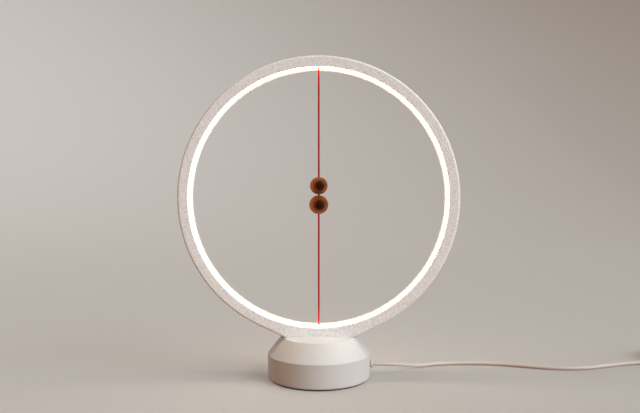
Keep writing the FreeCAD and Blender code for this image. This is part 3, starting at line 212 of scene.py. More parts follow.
class ShaderGraph:
    """The node tree of one material."""

    def __init__(self, name: str) -> None:
        """Starts an empty material.

        Args:
            name: the material's name.
        """
        self.material = bpy.data.materials.new(name)
        self.material.use_nodes = True
        self.tree = self.material.node_tree
        self.tree.nodes.clear()
        self.end = self.tree.nodes.new("ShaderNodeOutputMaterial")

    def node(self, kind: str, settings: dict | None = None, sockets: dict | None = None,
             output: int | str = 0) -> Socket:
        """Adds one node.

        Args:
            kind: the node's type, without its ShaderNode prefix.
            settings: its own settings, set first.
            sockets: values or links of its inputs, by number or name.
            output: which output is returned.

        Returns:
            The wrapped output.
        """
        made = self.tree.nodes.new(f"ShaderNode{kind}")
        for name, value in (settings or {}).items():
            setattr(made, name, value)
        for key, value in (sockets or {}).items():
            if isinstance(value, Socket):
                self.tree.links.new(value.end, made.inputs[key])
            else:
                made.inputs[key].default_value = value
        return Socket(self, made.outputs[output])

    def place(self) -> Socket:
        """The place on the piece, in metres, which moves with the piece."""
        return self.node("TexCoord", output="Object")

    def parts(self, vector: Socket) -> tuple[Socket, Socket, Socket]:
        """The three numbers of a vector."""
        split = self.node("SeparateXYZ", {}, {0: vector})
        return tuple(Socket(self, end) for end in split.end.node.outputs)

    def stretched(self, vector: Socket, scale: Point) -> Socket:
        """A vector with each axis scaled."""
        settings = {"operation": Maths.MULTIPLY.value}
        return self.node("VectorMath", settings, {0: vector, 1: scale})

    def noise(self, vector: Socket, layer: Noise) -> Socket:
        """Reads a layer of noise.

        Args:
            vector: where it is read.
            layer: the layer's size and kind.

        Returns:
            The noise's value, about 0 to 1.
        """
        sockets = {"Vector": vector, "Scale": 1.0 / layer.size, "Detail": layer.detail,
                   "Roughness": layer.roughness, "Distortion": layer.distortion}
        return self.node("TexNoise", {}, sockets)

    def cells(self, vector: Socket, size: float, smooth: float) -> Socket:
        """Rounded pebbles of one size: the distance from each one's middle."""
        sockets = {"Vector": vector, "Scale": 1.0 / size, "Smoothness": smooth}
        return self.node("TexVoronoi", {"feature": "SMOOTH_F1"}, sockets)

    def mixed(self, share: Socket | float, first: Socket | Colour,
              second: Socket | Colour) -> Socket:
        """Mixes two colours.

        Args:
            share: how much of the second colour there is, 0 to 1.
            first: the colour at 0.
            second: the colour at 1.

        Returns:
            The mixed colour.
        """
        ends = [(*c, 1.0) if isinstance(c, tuple) else c for c in (first, second)]
        sockets = {0: share, 6: ends[0], 7: ends[1]}
        return self.node("Mix", {"data_type": "RGBA"}, sockets, output=2)

    def bump(self, height: Socket, depth: float) -> Socket:
        """A bumped normal of a relief from 0 to 1 that is this deep, in metres."""
        return self.node("Bump", {}, {"Strength": 1.0, "Distance": depth, "Height": height})

    def principled(self, **sockets: "Socket | float | tuple") -> Socket:
        """Adds the surface shader.

        Args:
            sockets: its sockets' values or links, named as in the shader with _ for a space.

        Returns:
            The shader's output.
        """
        named = {name.replace("_", " "): value for name, value in sockets.items()}
        for name, value in named.items():
            if isinstance(value, tuple) and len(value) == 3:
                named[name] = (*value, 1.0)
        return self.node("BsdfPrincipled", {}, named)

    def finish(self, surface: Socket) -> bpy.types.Material:
        """Links the surface to the output and returns the material."""
        self.tree.links.new(surface.end, self.end.inputs["Surface"])
        return self.material


# ------------------------------------------------------------------------------- finishes


@dataclass(frozen=True)
class Finish:
    """One material of the lamp; its kinds name their sizes in metres and their tones as shares."""

    name: str
    colour: Colour
    roughness: float = 0.5

    def surface(self, graph: ShaderGraph) -> Socket:
        """A plain surface of the finish's colour and roughness."""
        return graph.principled(Base_Color=self.colour, Roughness=self.roughness)

    def tinted(self, share: float) -> Colour:
        """The finish's colour, this many times as bright."""
        return tuple(channel * share for channel in self.colour)

    def material(self) -> bpy.types.Material:
        """Builds the material."""
        graph = ShaderGraph(self.name)
        return graph.finish(self.surface(graph))


@dataclass(frozen=True)
class GrainedPlastic(Finish):
    """Moulded plastic with the fine grain of an etched mould.

    The sizes of the fine grain and of the marks are shares of the grain's.
    """

    grain: float = 0.00055
    grain_depth: float = 0.00009
    grain_softness: float = 0.6
    fine: Noise = Noise(0.6, 3.0, 0.6)
    fine_share: float = 0.3
    fine_sheen: float = 0.1
    mark: Noise = Noise(2.0, 2.0, 0.7)
    mark_span: Span = (0.40, 0.72)
    speckle: float = 0.35
    pebble_tone: float = 0.4
    shade: Colour = (0.46, 0.44, 0.42)
    patch: Noise = Noise(0.03, 3.0)
    patch_sheen: float = 0.16

    def surface(self, graph: ShaderGraph) -> Socket:
        """Pebbled grain in relief, fine speckle and a slow change of sheen.

        Args:
            graph: the graph that it is made in.

        Returns:
            The shader's output.
        """
        place = graph.place()
        pebbles = graph.cells(place, self.grain, self.grain_softness)
        fine = graph.noise(place, self.fine.scaled(self.grain))
        patches = graph.noise(place, self.patch)
        marks = graph.noise(place, self.mark.scaled(self.grain)).between(*self.mark_span)
        share = (marks + pebbles * self.pebble_tone) * self.speckle
        colour = graph.mixed(share, self.colour, self.shade)
        roughness = self.roughness + patches.swing(self.patch_sheen) + fine.swing(self.fine_sheen)
        height = pebbles * (1.0 - self.fine_share) + fine * self.fine_share
        relief = graph.bump(height, self.grain_depth)
        return graph.principled(Base_Color=colour, Roughness=roughness, Normal=relief)


@dataclass(frozen=True)
class LitDiffuser(Finish):
    """Milky plastic lit from behind: strongest along its middle, cream and dim at the lips.

    The spans are shares of the way from its middle to the lips.
    """

    power: float = 22.0
    skirt: Colour = (1.08, 0.98, 0.84)
    lip: Colour = (0.88, 0.64, 0.40)
    half_width: float = 0.0111
    core_span: Span = (0.24, 0.54)
    skirt_span: Span = (0.54, 1.0)
    haze: Noise = Noise(0.012)
    haze_swing: float = 0.08
    skin: Colour = (0.80, 0.77, 0.72)
    # The skin darker and browner towards the lips is painted shade where the diffuser meets the
    # shells.
    shaded_lip_skin: Colour = (0.40, 0.34, 0.26)
    lip_shade_span: Span = (0.50, 1.0)
    texture: Noise = Noise(0.0006)
    texture_depth: float = 0.00002

    def surface(self, graph: ShaderGraph) -> Socket:
        """Light that falls off from the emitters' row and warms towards the two lips.

        Args:
            graph: the graph that it is made in.

        Returns:
            The shader's output.
        """
        place = graph.place()
        _, depth, _ = graph.parts(place)
        haze = graph.noise(place, self.haze).swing(self.haze_swing)
        across = abs(depth) / self.half_width + haze
        skirt, lip = (tuple(channel / self.power for channel in c) for c in (self.skirt, self.lip))
        rim = graph.mixed(across.between(*self.skirt_span), skirt, lip)
        glow = graph.mixed(across.between(*self.core_span), self.colour, rim)
        # Painted shade: the skin darker and browner towards the lips.
        skin = graph.mixed(across.between(*self.lip_shade_span), self.skin, self.shaded_lip_skin)
        relief = graph.bump(graph.noise(place, self.texture), self.texture_depth)
        return graph.principled(Base_Color=skin, Roughness=self.roughness, Normal=relief,
                                Emission_Color=glow, Emission_Strength=self.power)


@dataclass(frozen=True)
class BraidedCord(Finish):
    """Dyed braid: fibres along each strand, and dye that changes slowly."""

    shade: Colour = (0.17, 0.004, 0.002)
    fibre: Noise = Noise(0.00006, 2.0, 0.6)
    fibre_stretch: Point = (1.0, 1.0, 0.25)
    fibre_tone: float = 0.55
    fibre_depth: float = 0.00005
    dye: Noise = Noise(0.004, 3.0, 0.6)
    dye_tone: float = 0.5
    gloss: float = 0.04

    def surface(self, graph: ShaderGraph) -> Socket:
        """Fine fibres, a slow change of dye and a soft sheen.

        Args:
            graph: the graph that it is made in.

        Returns:
            The shader's output.
        """
        place = graph.place()
        fibres = graph.noise(graph.stretched(place, self.fibre_stretch), self.fibre)
        dye = graph.noise(place, self.dye).swing(self.dye_tone)
        colour = graph.mixed(fibres * self.fibre_tone + dye, self.colour, self.shade)
        relief = graph.bump(fibres, self.fibre_depth)
        return graph.principled(Base_Color=colour, Roughness=self.roughness, Normal=relief,
                                Specular_IOR_Level=self.gloss)


@dataclass(frozen=True)
class OiledWood(Finish):
    """Dark oiled wood turned on a lathe, with growth rings round a heart along Y, a little off the
    middle. Round the heart the colour is painted: shade in the middle as seen from the front,
    light in orange towards the outline, and shade again at the very outline.

    The spans are shares of the bead's radius, apart from the pores' own.
    """

    # The light colour is the paler grain and also the painted light towards the outline.
    light: Colour = (0.25, 0.065, 0.007)
    radius: float = 0.0085
    # The heart's height, offset and span place and size the dark middle, which is painted shade.
    heart: float = 0.0
    shaded_heart_offset: float = 0.0013
    shaded_heart_span: Span = (0.28, 1.02)
    # The rim's span and tone darken the outline as seen from the front: painted shade.
    outline_shade_span: Span = (0.86, 1.0)
    outline_shade_tone: float = 0.35
    ring_step: float = 0.0017
    ring_power: float = 2.2
    ring_share: float = 0.38
    drift: Noise = Noise(0.005, 3.0, 0.55, 0.4)
    drift_stretch: Point = (1.0, 0.35, 1.0)
    drift_reach: float = 0.0016
    pore: Noise = Noise(0.00022, 2.0, 0.7)
    pore_stretch: Point = (1.0, 0.10, 1.0)
    pore_span: Span = (0.55, 0.70)
    pore_tone: float = 0.22
    pore_dullness: float = 0.2
    pore_depth: float = 0.00003
    blotch: Noise = Noise(0.0045)
    blotch_tone: float = 0.16
    blotch_dullness: float = 0.12
    gloss: float = 0.05
    oil: float = 0.03
    oil_roughness: float = 0.25

    def surface(self, graph: ShaderGraph) -> Socket:
        """Growth rings round the heart, fine pores and a thin coat of oil, over painted shade in
        the middle and painted light towards the outline.

        Args:
            graph: the graph that it is made in.

        Returns:
            The shader's output.
        """
        place = graph.place()
        x, _, z = graph.parts(place)
        level = z - self.heart
        side = x - self.shaded_heart_offset
        drift = graph.noise(graph.stretched(place, self.drift_stretch), self.drift)
        reach = (side * side + level * level) ** 0.5 + drift.swing(self.drift_reach)
        # Painted shade in the middle as seen from the front, and painted light towards the outline.
        shade_to_rim_light = (reach / self.radius).between(*self.shaded_heart_span)
        rings = (reach * (math.tau / self.ring_step)).wave().lifted() ** self.ring_power
        along = graph.stretched(place, self.pore_stretch)
        pores = graph.noise(along, self.pore).between(*self.pore_span)
        blotch = graph.noise(place, self.blotch)
        # Painted shade right at the outline, as seen from the front.
        rim = ((x * x + level * level) ** 0.5 / self.radius).between(*self.outline_shade_span)
        share = (shade_to_rim_light * (1.0 - self.ring_share + rings * self.ring_share)
                 + blotch.swing(self.blotch_tone) - pores * self.pore_tone - rim * self.outline_shade_tone)
        colour = graph.mixed(share.clamped(), self.colour, self.light)
        roughness = (self.roughness + pores * self.pore_dullness
                     + blotch.swing(self.blotch_dullness))
        relief = graph.bump(1.0 - pores, self.pore_depth)
        return graph.principled(Base_Color=colour, Roughness=roughness, Normal=relief,
                                Specular_IOR_Level=self.gloss, Coat_Weight=self.oil,
                                Coat_Roughness=self.oil_roughness)


@dataclass(frozen=True)
class SoftJacket(Finish):
    """A soft moulded skin: satin, finely textured and a little dusty."""

    shade: Colour = (0.55, 0.50, 0.46)
    dust: Noise = Noise(0.006, 4.0, 0.6)
    dust_span: Span = (0.45, 0.85)
    dust_tone: float = 0.16
    dust_dullness: float = 0.12
    texture: Noise = Noise(0.0003)
    texture_depth: float = 0.00001
    satin: float = 0.1
    satin_roughness: float = 0.35

    def surface(self, graph: ShaderGraph) -> Socket:
        """A satin skin with a slow change of tone.

        Args:
            graph: the graph that it is made in.

        Returns:
            The shader's output.
        """
        place = graph.place()
        dust = graph.noise(place, self.dust).between(*self.dust_span)
        colour = graph.mixed(dust * self.dust_tone, self.colour, self.shade)
        roughness = self.roughness + dust * self.dust_dullness
        relief = graph.bump(graph.noise(place, self.texture), self.texture_depth)
        return graph.principled(Base_Color=colour, Roughness=roughness, Normal=relief,
                                Coat_Weight=self.satin, Coat_Roughness=self.satin_roughness)


@dataclass(frozen=True)
class Metal(Finish):
    """Plated or rolled metal with fine drawn lines along one axis."""

    drawn: Point = (0.05, 1.0, 1.0)
    line: Noise = Noise(0.00012, 2.0, 0.6)
    line_dullness: float = 0.12
    line_depth: float = 0.000008
    stain: Noise = Noise(0.004, 3.0)
    stain_start: float = 0.35
    stain_tone: float = 0.6
    stain_tint: float = 0.72
    stain_dullness: float = 0.1

    def surface(self, graph: ShaderGraph) -> Socket:
        """Fine lines and a little staining.

        Args:
            graph: the graph that it is made in.

        Returns:
            The shader's output.
        """
        place = graph.place()
        lines = graph.noise(graph.stretched(place, self.drawn), self.line)
        stain = graph.noise(place, self.stain)
        share = (stain - self.stain_start).clamped() * self.stain_tone
        colour = graph.mixed(share, self.colour, self.tinted(self.stain_tint))
        roughness = (self.roughness + lines.swing(self.line_dullness)
                     + stain.swing(self.stain_dullness))
        relief = graph.bump(lines, self.line_depth)
        return graph.principled(Base_Color=colour, Roughness=roughness, Metallic=1.0,
                                Normal=relief)


@dataclass(frozen=True)
class Foam(Finish):
    """Closed-cell foam with open pores on its cut faces."""

    pore: float = 0.0004
    pore_softness: float = 0.2
    pore_tint: float = 2.2
    pore_depth: float = 0.00008

    def surface(self, graph: ShaderGraph) -> Socket:
        """Small pores in relief and in tone.

        Args:
            graph: the graph that it is made in.

        Returns:
            The shader's output.
        """
        pores = graph.cells(graph.place(), self.pore, self.pore_softness)
        colour = graph.mixed(pores, self.colour, self.tinted(self.pore_tint))
        relief = graph.bump(pores, self.pore_depth)
        return graph.principled(Base_Color=colour, Roughness=self.roughness, Normal=relief)


@dataclass(frozen=True)
class Laminate(Finish):
    """A printed board: solder mask over fine copper lanes and glass weave."""

    copper: Colour = (0.10, 0.38, 0.16)
    lane: float = 0.0026
    lane_disorder: float = 0.85
    lane_span: Span = (0.30, 0.36)
    lane_relief: float = -0.8
    weave_turns: float = 9000.0
    weave_relief: float = 0.2
    relief_depth: float = 0.00003

    def surface(self, graph: ShaderGraph) -> Socket:
        """Lanes as a little lighter, raised cells, and the weave as a fine ripple.

        Args:
            graph: the graph that it is made in.

        Returns:
            The shader's output.
        """
        place = graph.place()
        sockets = {"Vector": place, "Scale": 1.0 / self.lane, "Randomness": self.lane_disorder}
        cell = graph.node("TexVoronoi", {"feature": "F1", "distance": "CHEBYCHEV"}, sockets)
        lanes = cell.between(*self.lane_span)
        x, y, _ = graph.parts(place)
        weave = ((x * self.weave_turns).wave() * (y * self.weave_turns).wave()).lifted()
        colour = graph.mixed(lanes, self.copper, self.colour)
        height = weave * self.weave_relief + lanes * self.lane_relief
        relief = graph.bump(height, self.relief_depth)
        return graph.principled(Base_Color=colour, Roughness=self.roughness, Normal=relief)


@dataclass(frozen=True)
class Moulded(Finish):
    """Small moulded pieces: fine mould texture and a slow change of gloss."""

    texture: Noise = Noise(0.00018)
    texture_depth: float = 0.00001
    patch: Noise = Noise(0.003)
    patch_start: float = 0.4
    patch_tone: float = 0.5
    patch_tint: float = 0.8
    patch_dullness: float = 0.15

    def surface(self, graph: ShaderGraph) -> Socket:
        """Fine texture and patches of gloss.

        Args:
            graph: the graph that it is made in.

        Returns:
            The shader's output.
        """
        place = graph.place()
        patches = graph.noise(place, self.patch)
        share = (patches - self.patch_start).clamped() * self.patch_tone
        colour = graph.mixed(share, self.colour, self.tinted(self.patch_tint))
        roughness = self.roughness + patches.swing(self.patch_dullness)
        relief = graph.bump(graph.noise(place, self.texture), self.texture_depth)
        return graph.principled(Base_Color=colour, Roughness=roughness, Normal=relief)


@dataclass(frozen=True)
class WovenStrap(Finish):
    """A narrow woven strap."""

    thread: float = 0.0005
    thread_tone: float = 0.4
    fuzz: Noise = Noise(0.00012)
    fuzz_tone: float = 0.2
    fuzz_relief: float = 0.3
    gap_tint: float = 0.6
    relief_depth: float = 0.0001

    def surface(self, graph: ShaderGraph) -> Socket:
        """Crossing threads in relief and tone.

        Args:
            graph: the graph that it is made in.

        Returns:
            The shader's output.
        """
        place = graph.place()
        x, y, z = graph.parts(place)
        turn = math.tau / self.thread
        weave = ((y * turn).wave() * ((x + z) * turn).wave()).lifted()
        fuzz = graph.noise(place, self.fuzz)
        share = weave * self.thread_tone + fuzz * self.fuzz_tone
        colour = graph.mixed(share, self.colour, self.tinted(self.gap_tint))
        height = weave * (1.0 - self.fuzz_relief) + fuzz * self.fuzz_relief
        relief = graph.bump(height, self.relief_depth)
        return graph.principled(Base_Color=colour, Roughness=self.roughness, Normal=relief)


RING_PLASTIC = GrainedPlastic("grained ring plastic", (0.88, 0.885, 0.89), 0.55, speckle=0.55)
# The base is the ring's white plastic painted darker grey: painted shade, for the lesser light at
# the base.
SHADED_BASE_PLASTIC = GrainedPlastic("grained base plastic", (0.54, 0.54, 0.54), 0.52, speckle=0.14)
COVER_PLASTIC = GrainedPlastic("bottom cover plastic", (0.74, 0.73, 0.71), 0.55, grain=0.0007)
DIFFUSER = LitDiffuser("lit diffuser", (1.0, 0.87, 0.68), 0.4)
EYELET = Moulded("eyelet plastic", (0.85, 0.83, 0.78), 0.4)
RED_BRAID = BraidedCord("red braid", (0.38, 0.003, 0.0008), 0.75)
# Near-black braid for the end knots: painted shade in the gap between the two beads.
SHADED_KNOT_BRAID = BraidedCord("knot braid with painted shade", (0.05, 0.006, 0.004), 0.6, shade=(0.015, 0.003, 0.002))
WALNUT = OiledWood("dark walnut", (0.018, 0.0035, 0.0012), 0.38)
# The white jacket is painted a darker, warmer grey: painted shade.
SHADED_WHITE_JACKET = SoftJacket("white lead jacket", (0.56, 0.50, 0.46), 0.45)
PLUG_PLASTIC = SoftJacket("plug plastic", (0.78, 0.765, 0.74), 0.45)
TONGUE = Moulded("plug tongue plastic", (0.80, 0.80, 0.78), 0.4)
NICKEL = Metal("nickel plate", (0.72, 0.70, 0.66), 0.26, drawn=(1.0, 0.05, 1.0))
ZINC = Metal("zinc plate", (0.58, 0.58, 0.56), 0.36)
SPRING_STEEL = Metal("spring steel", (0.50, 0.50, 0.50), 0.3, drawn=(1.0, 1.0, 0.1))
BLACK_FOAM = Foam("black foam", (0.012, 0.012, 0.012), 0.85)
GREEN_BOARD = Laminate("green board", (0.02, 0.16, 0.05), 0.35)
WHITE_STRIP = Laminate("white light strip", (0.80, 0.80, 0.78), 0.4, copper=(0.70, 0.70, 0.68))
PHOSPHOR = Moulded("emitter phosphor", (0.85, 0.62, 0.12), 0.25)
BLACK_CASE = Moulded("black component case", (0.02, 0.02, 0.022), 0.42)
IVORY = Moulded("ivory connector", (0.78, 0.74, 0.62), 0.38)
RED_INSULATION = SoftJacket("red wire insulation", (0.42, 0.02, 0.015), 0.4,
                            shade=(0.2, 0.01, 0.01))
STRAP = WovenStrap("tie strap", (0.70, 0.69, 0.66), 0.8)


# ------------------------------------------------------------------------------- mesh tools


def add_piece(name: str, build: Callable[[bmesh.types.BMesh], None], finish: bpy.types.Material,
              body: Body, nodes: Sequence[str]) -> bpy.types.Object:
    """Makes one piece from mesh code and puts it on its body.

    Args:
        name: the piece's name.
        build: fills an empty bmesh, in the model's frame.
        finish: its material.
        body: the body that it rides on.
        nodes: the CAD nodes that it stands for.

    Returns:
        The new object.
    """
    mesh = bmesh.new()
    build(mesh)
    bmesh.ops.recalc_face_normals(mesh, faces=mesh.faces)
    data = bpy.data.meshes.new(name)
    mesh.to_mesh(data)
    mesh.free()
    data.polygons.foreach_set("use_smooth", [True] * len(data.polygons))
    data.set_sharp_from_angle(angle=math.radians(SHARP_ANGLE))
    data.materials.append(finish)
    piece = bpy.data.objects.new(name, data)
    bpy.context.scene.collection.objects.link(piece)
    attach(piece, body.value)
    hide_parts(*nodes)
    LOG.info("%s: %d faces", name, len(data.polygons))
    return piece


def lathe(mesh: bmesh.types.BMesh, profile: Sequence[tuple[float, float]], steps: int) -> None:
    """Turns a profile about Z.

    Args:
        mesh: where the faces go.
        profile: (radius, height) points; a radius of 0 is a pole.
        steps: faces round the axis.
    """
    turns = [math.tau * step / steps for step in range(steps)]
    rows = []
    for radius, height in profile:
        around = [(0.0, 0.0, height)]
        if radius >= POLE:
            around = [(radius * math.cos(t), radius * math.sin(t), height) for t in turns]
        rows.append([mesh.verts.new(point) for point in around])
    for low, high in zip(rows, rows[1:]):
        for step in range(steps):
            after = (step + 1) % steps
            corners = (low[step % len(low)], low[after % len(low)],
                       high[after % len(high)], high[step % len(high)])
            unique = list(dict.fromkeys(corners))
            if len(unique) > 2:
                mesh.faces.new(unique)


def tube_along(mesh: bmesh.types.BMesh, line: Sequence[Vector], radius: float, sides: int,
               closed: bool = False) -> None:
    """A round tube along a line of points, capped at its ends.

    Args:
        mesh: where the faces go.
        line: the points of its middle.
        radius: the tube's radius.
        sides: faces round it.
        closed: True where the line is a loop.
    """
    count = len(line)
    heart = sum(line, Vector()) / count
    turns = [math.tau * side / sides for side in range(sides)]
    rings = []
    across = None
    for index, middle in enumerate(line):
        before = line[index - 1] if index or closed else middle
        after = line[(index + 1) % count] if index + 1 < count or closed else middle
        along = (after - before).normalized()
        if closed:
            across = along.cross(middle - heart)
        elif across is None:
            across = along.orthogonal()
        across = (across - along * across.dot(along)).normalized()
        up = along.cross(across)
        rings.append([mesh.verts.new(middle + (across * math.cos(t) + up * math.sin(t)) * radius)
                      for t in turns])
    pairs = list(zip(rings, rings[1:])) + ([(rings[-1], rings[0])] if closed else [])
    for low, high in pairs:
        for side in range(sides):
            after = (side + 1) % sides
            mesh.faces.new((low[side], low[after], high[after], high[side]))
    if not closed:
        mesh.faces.new(rings[0])
        mesh.faces.new(rings[-1])


def dress(finish: bpy.types.Material, *nodes: str) -> None:
    """Gives carried-over CAD nodes their material.

    Args:
        finish: the material.
        nodes: the nodes' names.
    """
    for node in nodes:
        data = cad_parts[node].data
        data.materials.clear()
        data.materials.append(finish)
        LOG.info("%s: %s", node, finish.name)


# ------------------------------------------------------------------------------- cords


@dataclass(frozen=True)
class CordLine:
    """The smooth line of a cord: a NURBS spline that its control points pull into shape."""

    name: str
    points: Sequence[Point]
    steps_per_point: int = 6
    section_steps: int = 5

    def curve(self, radius: float = 0.0) -> bpy.types.Curve:
        """The line as a curve.

        Args:
            radius: the cord's radius, or 0 for a bare line.

        Returns:
            The curve.
        """
        data = bpy.data.curves.new(self.name, "CURVE")
        data.dimensions = "3D"
        data.bevel_depth = radius
        data.bevel_resolution = self.section_steps
        data.use_fill_caps = True
        spline = data.splines.new("NURBS")
        spline.points.add(len(self.points) - 1)
        for control, point in zip(spline.points, self.points):
            control.co = (*point, 1.0)
        spline.order_u = 3
        spline.use_endpoint_u = True
        spline.resolution_u = self.steps_per_point
        return data

    def read(self) -> list[Vector]:
        """Reads the smooth line.

        Returns:
            Points along it.
        """
        holder = bpy.data.objects.new(f"{self.name}_line", self.curve())
        bpy.context.scene.collection.objects.link(holder)
        bpy.context.view_layer.update()
        line = bpy.data.meshes.new_from_object(holder)
        points = [vertex.co.copy() for vertex in line.vertices]
        bpy.data.objects.remove(holder)
        bpy.data.meshes.remove(line)
        return points


def spaced(line: Sequence[Vector], step: float) -> list[Vector]:
    """Spaces a line's points evenly.

    Args:
        line: the points along it.
        step: the wanted distance between two points.

    Returns:
        Points along the same line, about a step apart.
    """
    total = sum((b - a).length for a, b in zip(line, line[1:]))
    count = max(2, round(total / step))
    found = []
    walked = 0.0
    run = 0
    for index in range(count + 1):
        distance = total * index / count
        while run < len(line) - 2 and walked + (line[run + 1] - line[run]).length < distance:
            walked += (line[run + 1] - line[run]).length
            run += 1
        length = max((line[run + 1] - line[run]).length, SHORTEST_RUN)
        found.append(line[run].lerp(line[run + 1], min(1.0, (distance - walked) / length)))
    return found


@dataclass(frozen=True)
class Braid:
    """A round braid: strands that spiral both ways and pass over and under each other.

    A strand's radius is a share of the cord's; sink, weave_middle and weave_swing are strand radii.
    """

    radius: float = 0.82 * MM
    strands_each_way: int = 6
    pitch: float = 7.2 * MM
    points_per_turn: int = 24
    sides: int = 6
    strand_share: float = 0.20
    sink: float = 1.55
    weave_middle: float = 0.5
    weave_swing: float = 0.42
    core_points_per_turn: int = 4
    core_sides: int = 10

    def build(self, mesh: bmesh.types.BMesh, line: Sequence[Vector]) -> None:
        """Lays the strands and a thin core along a line.

        Args:
            mesh: where the faces go.
            line: the cord's middle.
        """
        thickness = self.radius * self.strand_share
        middle = self.radius - thickness * self.sink
        walk = spaced(line, self.pitch / self.points_per_turn)
        core = spaced(line, self.pitch / self.core_points_per_turn)
        tube_along(mesh, core, middle, self.core_sides)
        for way in (-1, 1):
            for strand in range(self.strands_each_way):
                path = self._strand(walk, middle, thickness, way, strand)
                tube_along(mesh, path, thickness, self.sides)

    def _strand(self, walk: Sequence[Vector], middle: float, thickness: float, way: int,
                strand: int) -> list[Vector]:
        """Winds one strand round the cord's middle.

        Args:
            walk: even points along the cord's middle.
            middle: the core's radius.
            thickness: the strand's radius.
            way: -1 or 1, the way that it spirals.
            strand: its number among those that go its way.

        Returns:
            The points of the strand's middle.
        """
        start = math.tau * strand / self.strands_each_way
        last = len(walk) - 1
        path = []
        for index, point in enumerate(walk):
            along = (walk[min(index + 1, last)] - walk[max(index - 1, 0)]).normalized()
            across = along.cross(DEPTH_AXIS).normalized()
            up = along.cross(across)
            turn = start + way * math.tau * index / self.points_per_turn
            crossing = self.strands_each_way * math.tau * index / self.points_per_turn
            weave = self.weave_middle + self.weave_swing * way * math.cos(crossing)
            lift = middle + thickness * weave
            path.append(point + (across * math.cos(turn) + up * math.sin(turn)) * lift)
        return path


@dataclass(frozen=True)
class TiedKnot:
    """An overhand knot pulled tight: a trefoil of cord.

    reach is how far it spreads, thickness its cord's radius and depth its spread along Z.
    """

    middle: Point
    reach: float
    thickness: float
    depth: float
    steps: int = 72
    sides: int = 8

    def build(self, mesh: bmesh.types.BMesh) -> None:
        """Lays the knot's closed line as a round cord.

        Args:
            mesh: where the faces go.
        """
        line = []
        for step in range(self.steps):
            turn = math.tau * step / self.steps
            x = (math.sin(turn) + 2.0 * math.sin(2.0 * turn)) / 3.0
            y = (math.cos(turn) - 2.0 * math.cos(2.0 * turn)) / 3.0
            z = -math.sin(3.0 * turn) / 3.0 * self.depth
            line.append(Vector(self.middle) + Vector((x, y, z)) * self.reach)
        tube_along(mesh, line, self.thickness, self.sides, closed=True)


# ------------------------------------------------------------------------------- the lamp


@dataclass(frozen=True)
class LightRing:
    """The two ring shells, the diffuser and what is sealed behind it."""

    shells: tuple[str, ...] = ("ring_front_shell", "ring_rear_shell")
    eyelets: tuple[str, ...] = ("upper_cord_eyelet", "lower_cord_eyelet", "cord_guide_tube")

    def build(self) -> None:
        """Gives each of the ring's nodes its finish."""
        dress(RING_PLASTIC.material(), *self.shells)
        dress(DIFFUSER.material(), "ring_diffuser")
        dress(EYELET.material(), *self.eyelets)
        dress(WHITE_STRIP.material(), "led_strip")
        dress(PHOSPHOR.material(), "led_emitters")


@dataclass(frozen=True)
class RoundBase:
    """The base's shell, cover, pad and ballast, and the lamp's zinc-plated hardware."""

    zinc_nodes: tuple[str, ...] = ("ring_clamp_plate", "ring_clamp_screws", "base_cover_screws",
                                   "board_screws", "ballast_plate", "lever_bracket", "lever_pin",
                                   "lead_stop_ring")

    def build(self) -> None:
        """Gives each of the base's nodes its finish."""
        # The shell's white plastic is painted darker: painted shade.
        dress(SHADED_BASE_PLASTIC.material(), "base_shell")
        dress(COVER_PLASTIC.material(), "base_bottom_cover")
        dress(BLACK_FOAM.material(), "anti_slip_pad")
        dress(ZINC.material(), *self.zinc_nodes)


@dataclass(frozen=True)
class PullSwitch:
    """The board, its parts, the switch, its lever and the return spring."""

    black_nodes: tuple[str, ...] = ("driver_chip", "power_inductor", "capacitors",
                                    "micro_switch_body")
    ivory_nodes: tuple[str, ...] = ("lead_connector", "wire_connector", "switch_lever",
                                    "switch_plunger")

    def build(self, nickel: bpy.types.Material) -> None:
        """Gives each node its finish.

        Args:
            nickel: the ferrule's material.
        """
        dress(GREEN_BOARD.material(), "control_board")
        dress(BLACK_CASE.material(), *self.black_nodes)
        dress(IVORY.material(), *self.ivory_nodes)
        dress(RED_INSULATION.material(), "led_supply_wires")
        dress(SPRING_STEEL.material(), "return_spring")
        dress(nickel, "pull_ferrule")


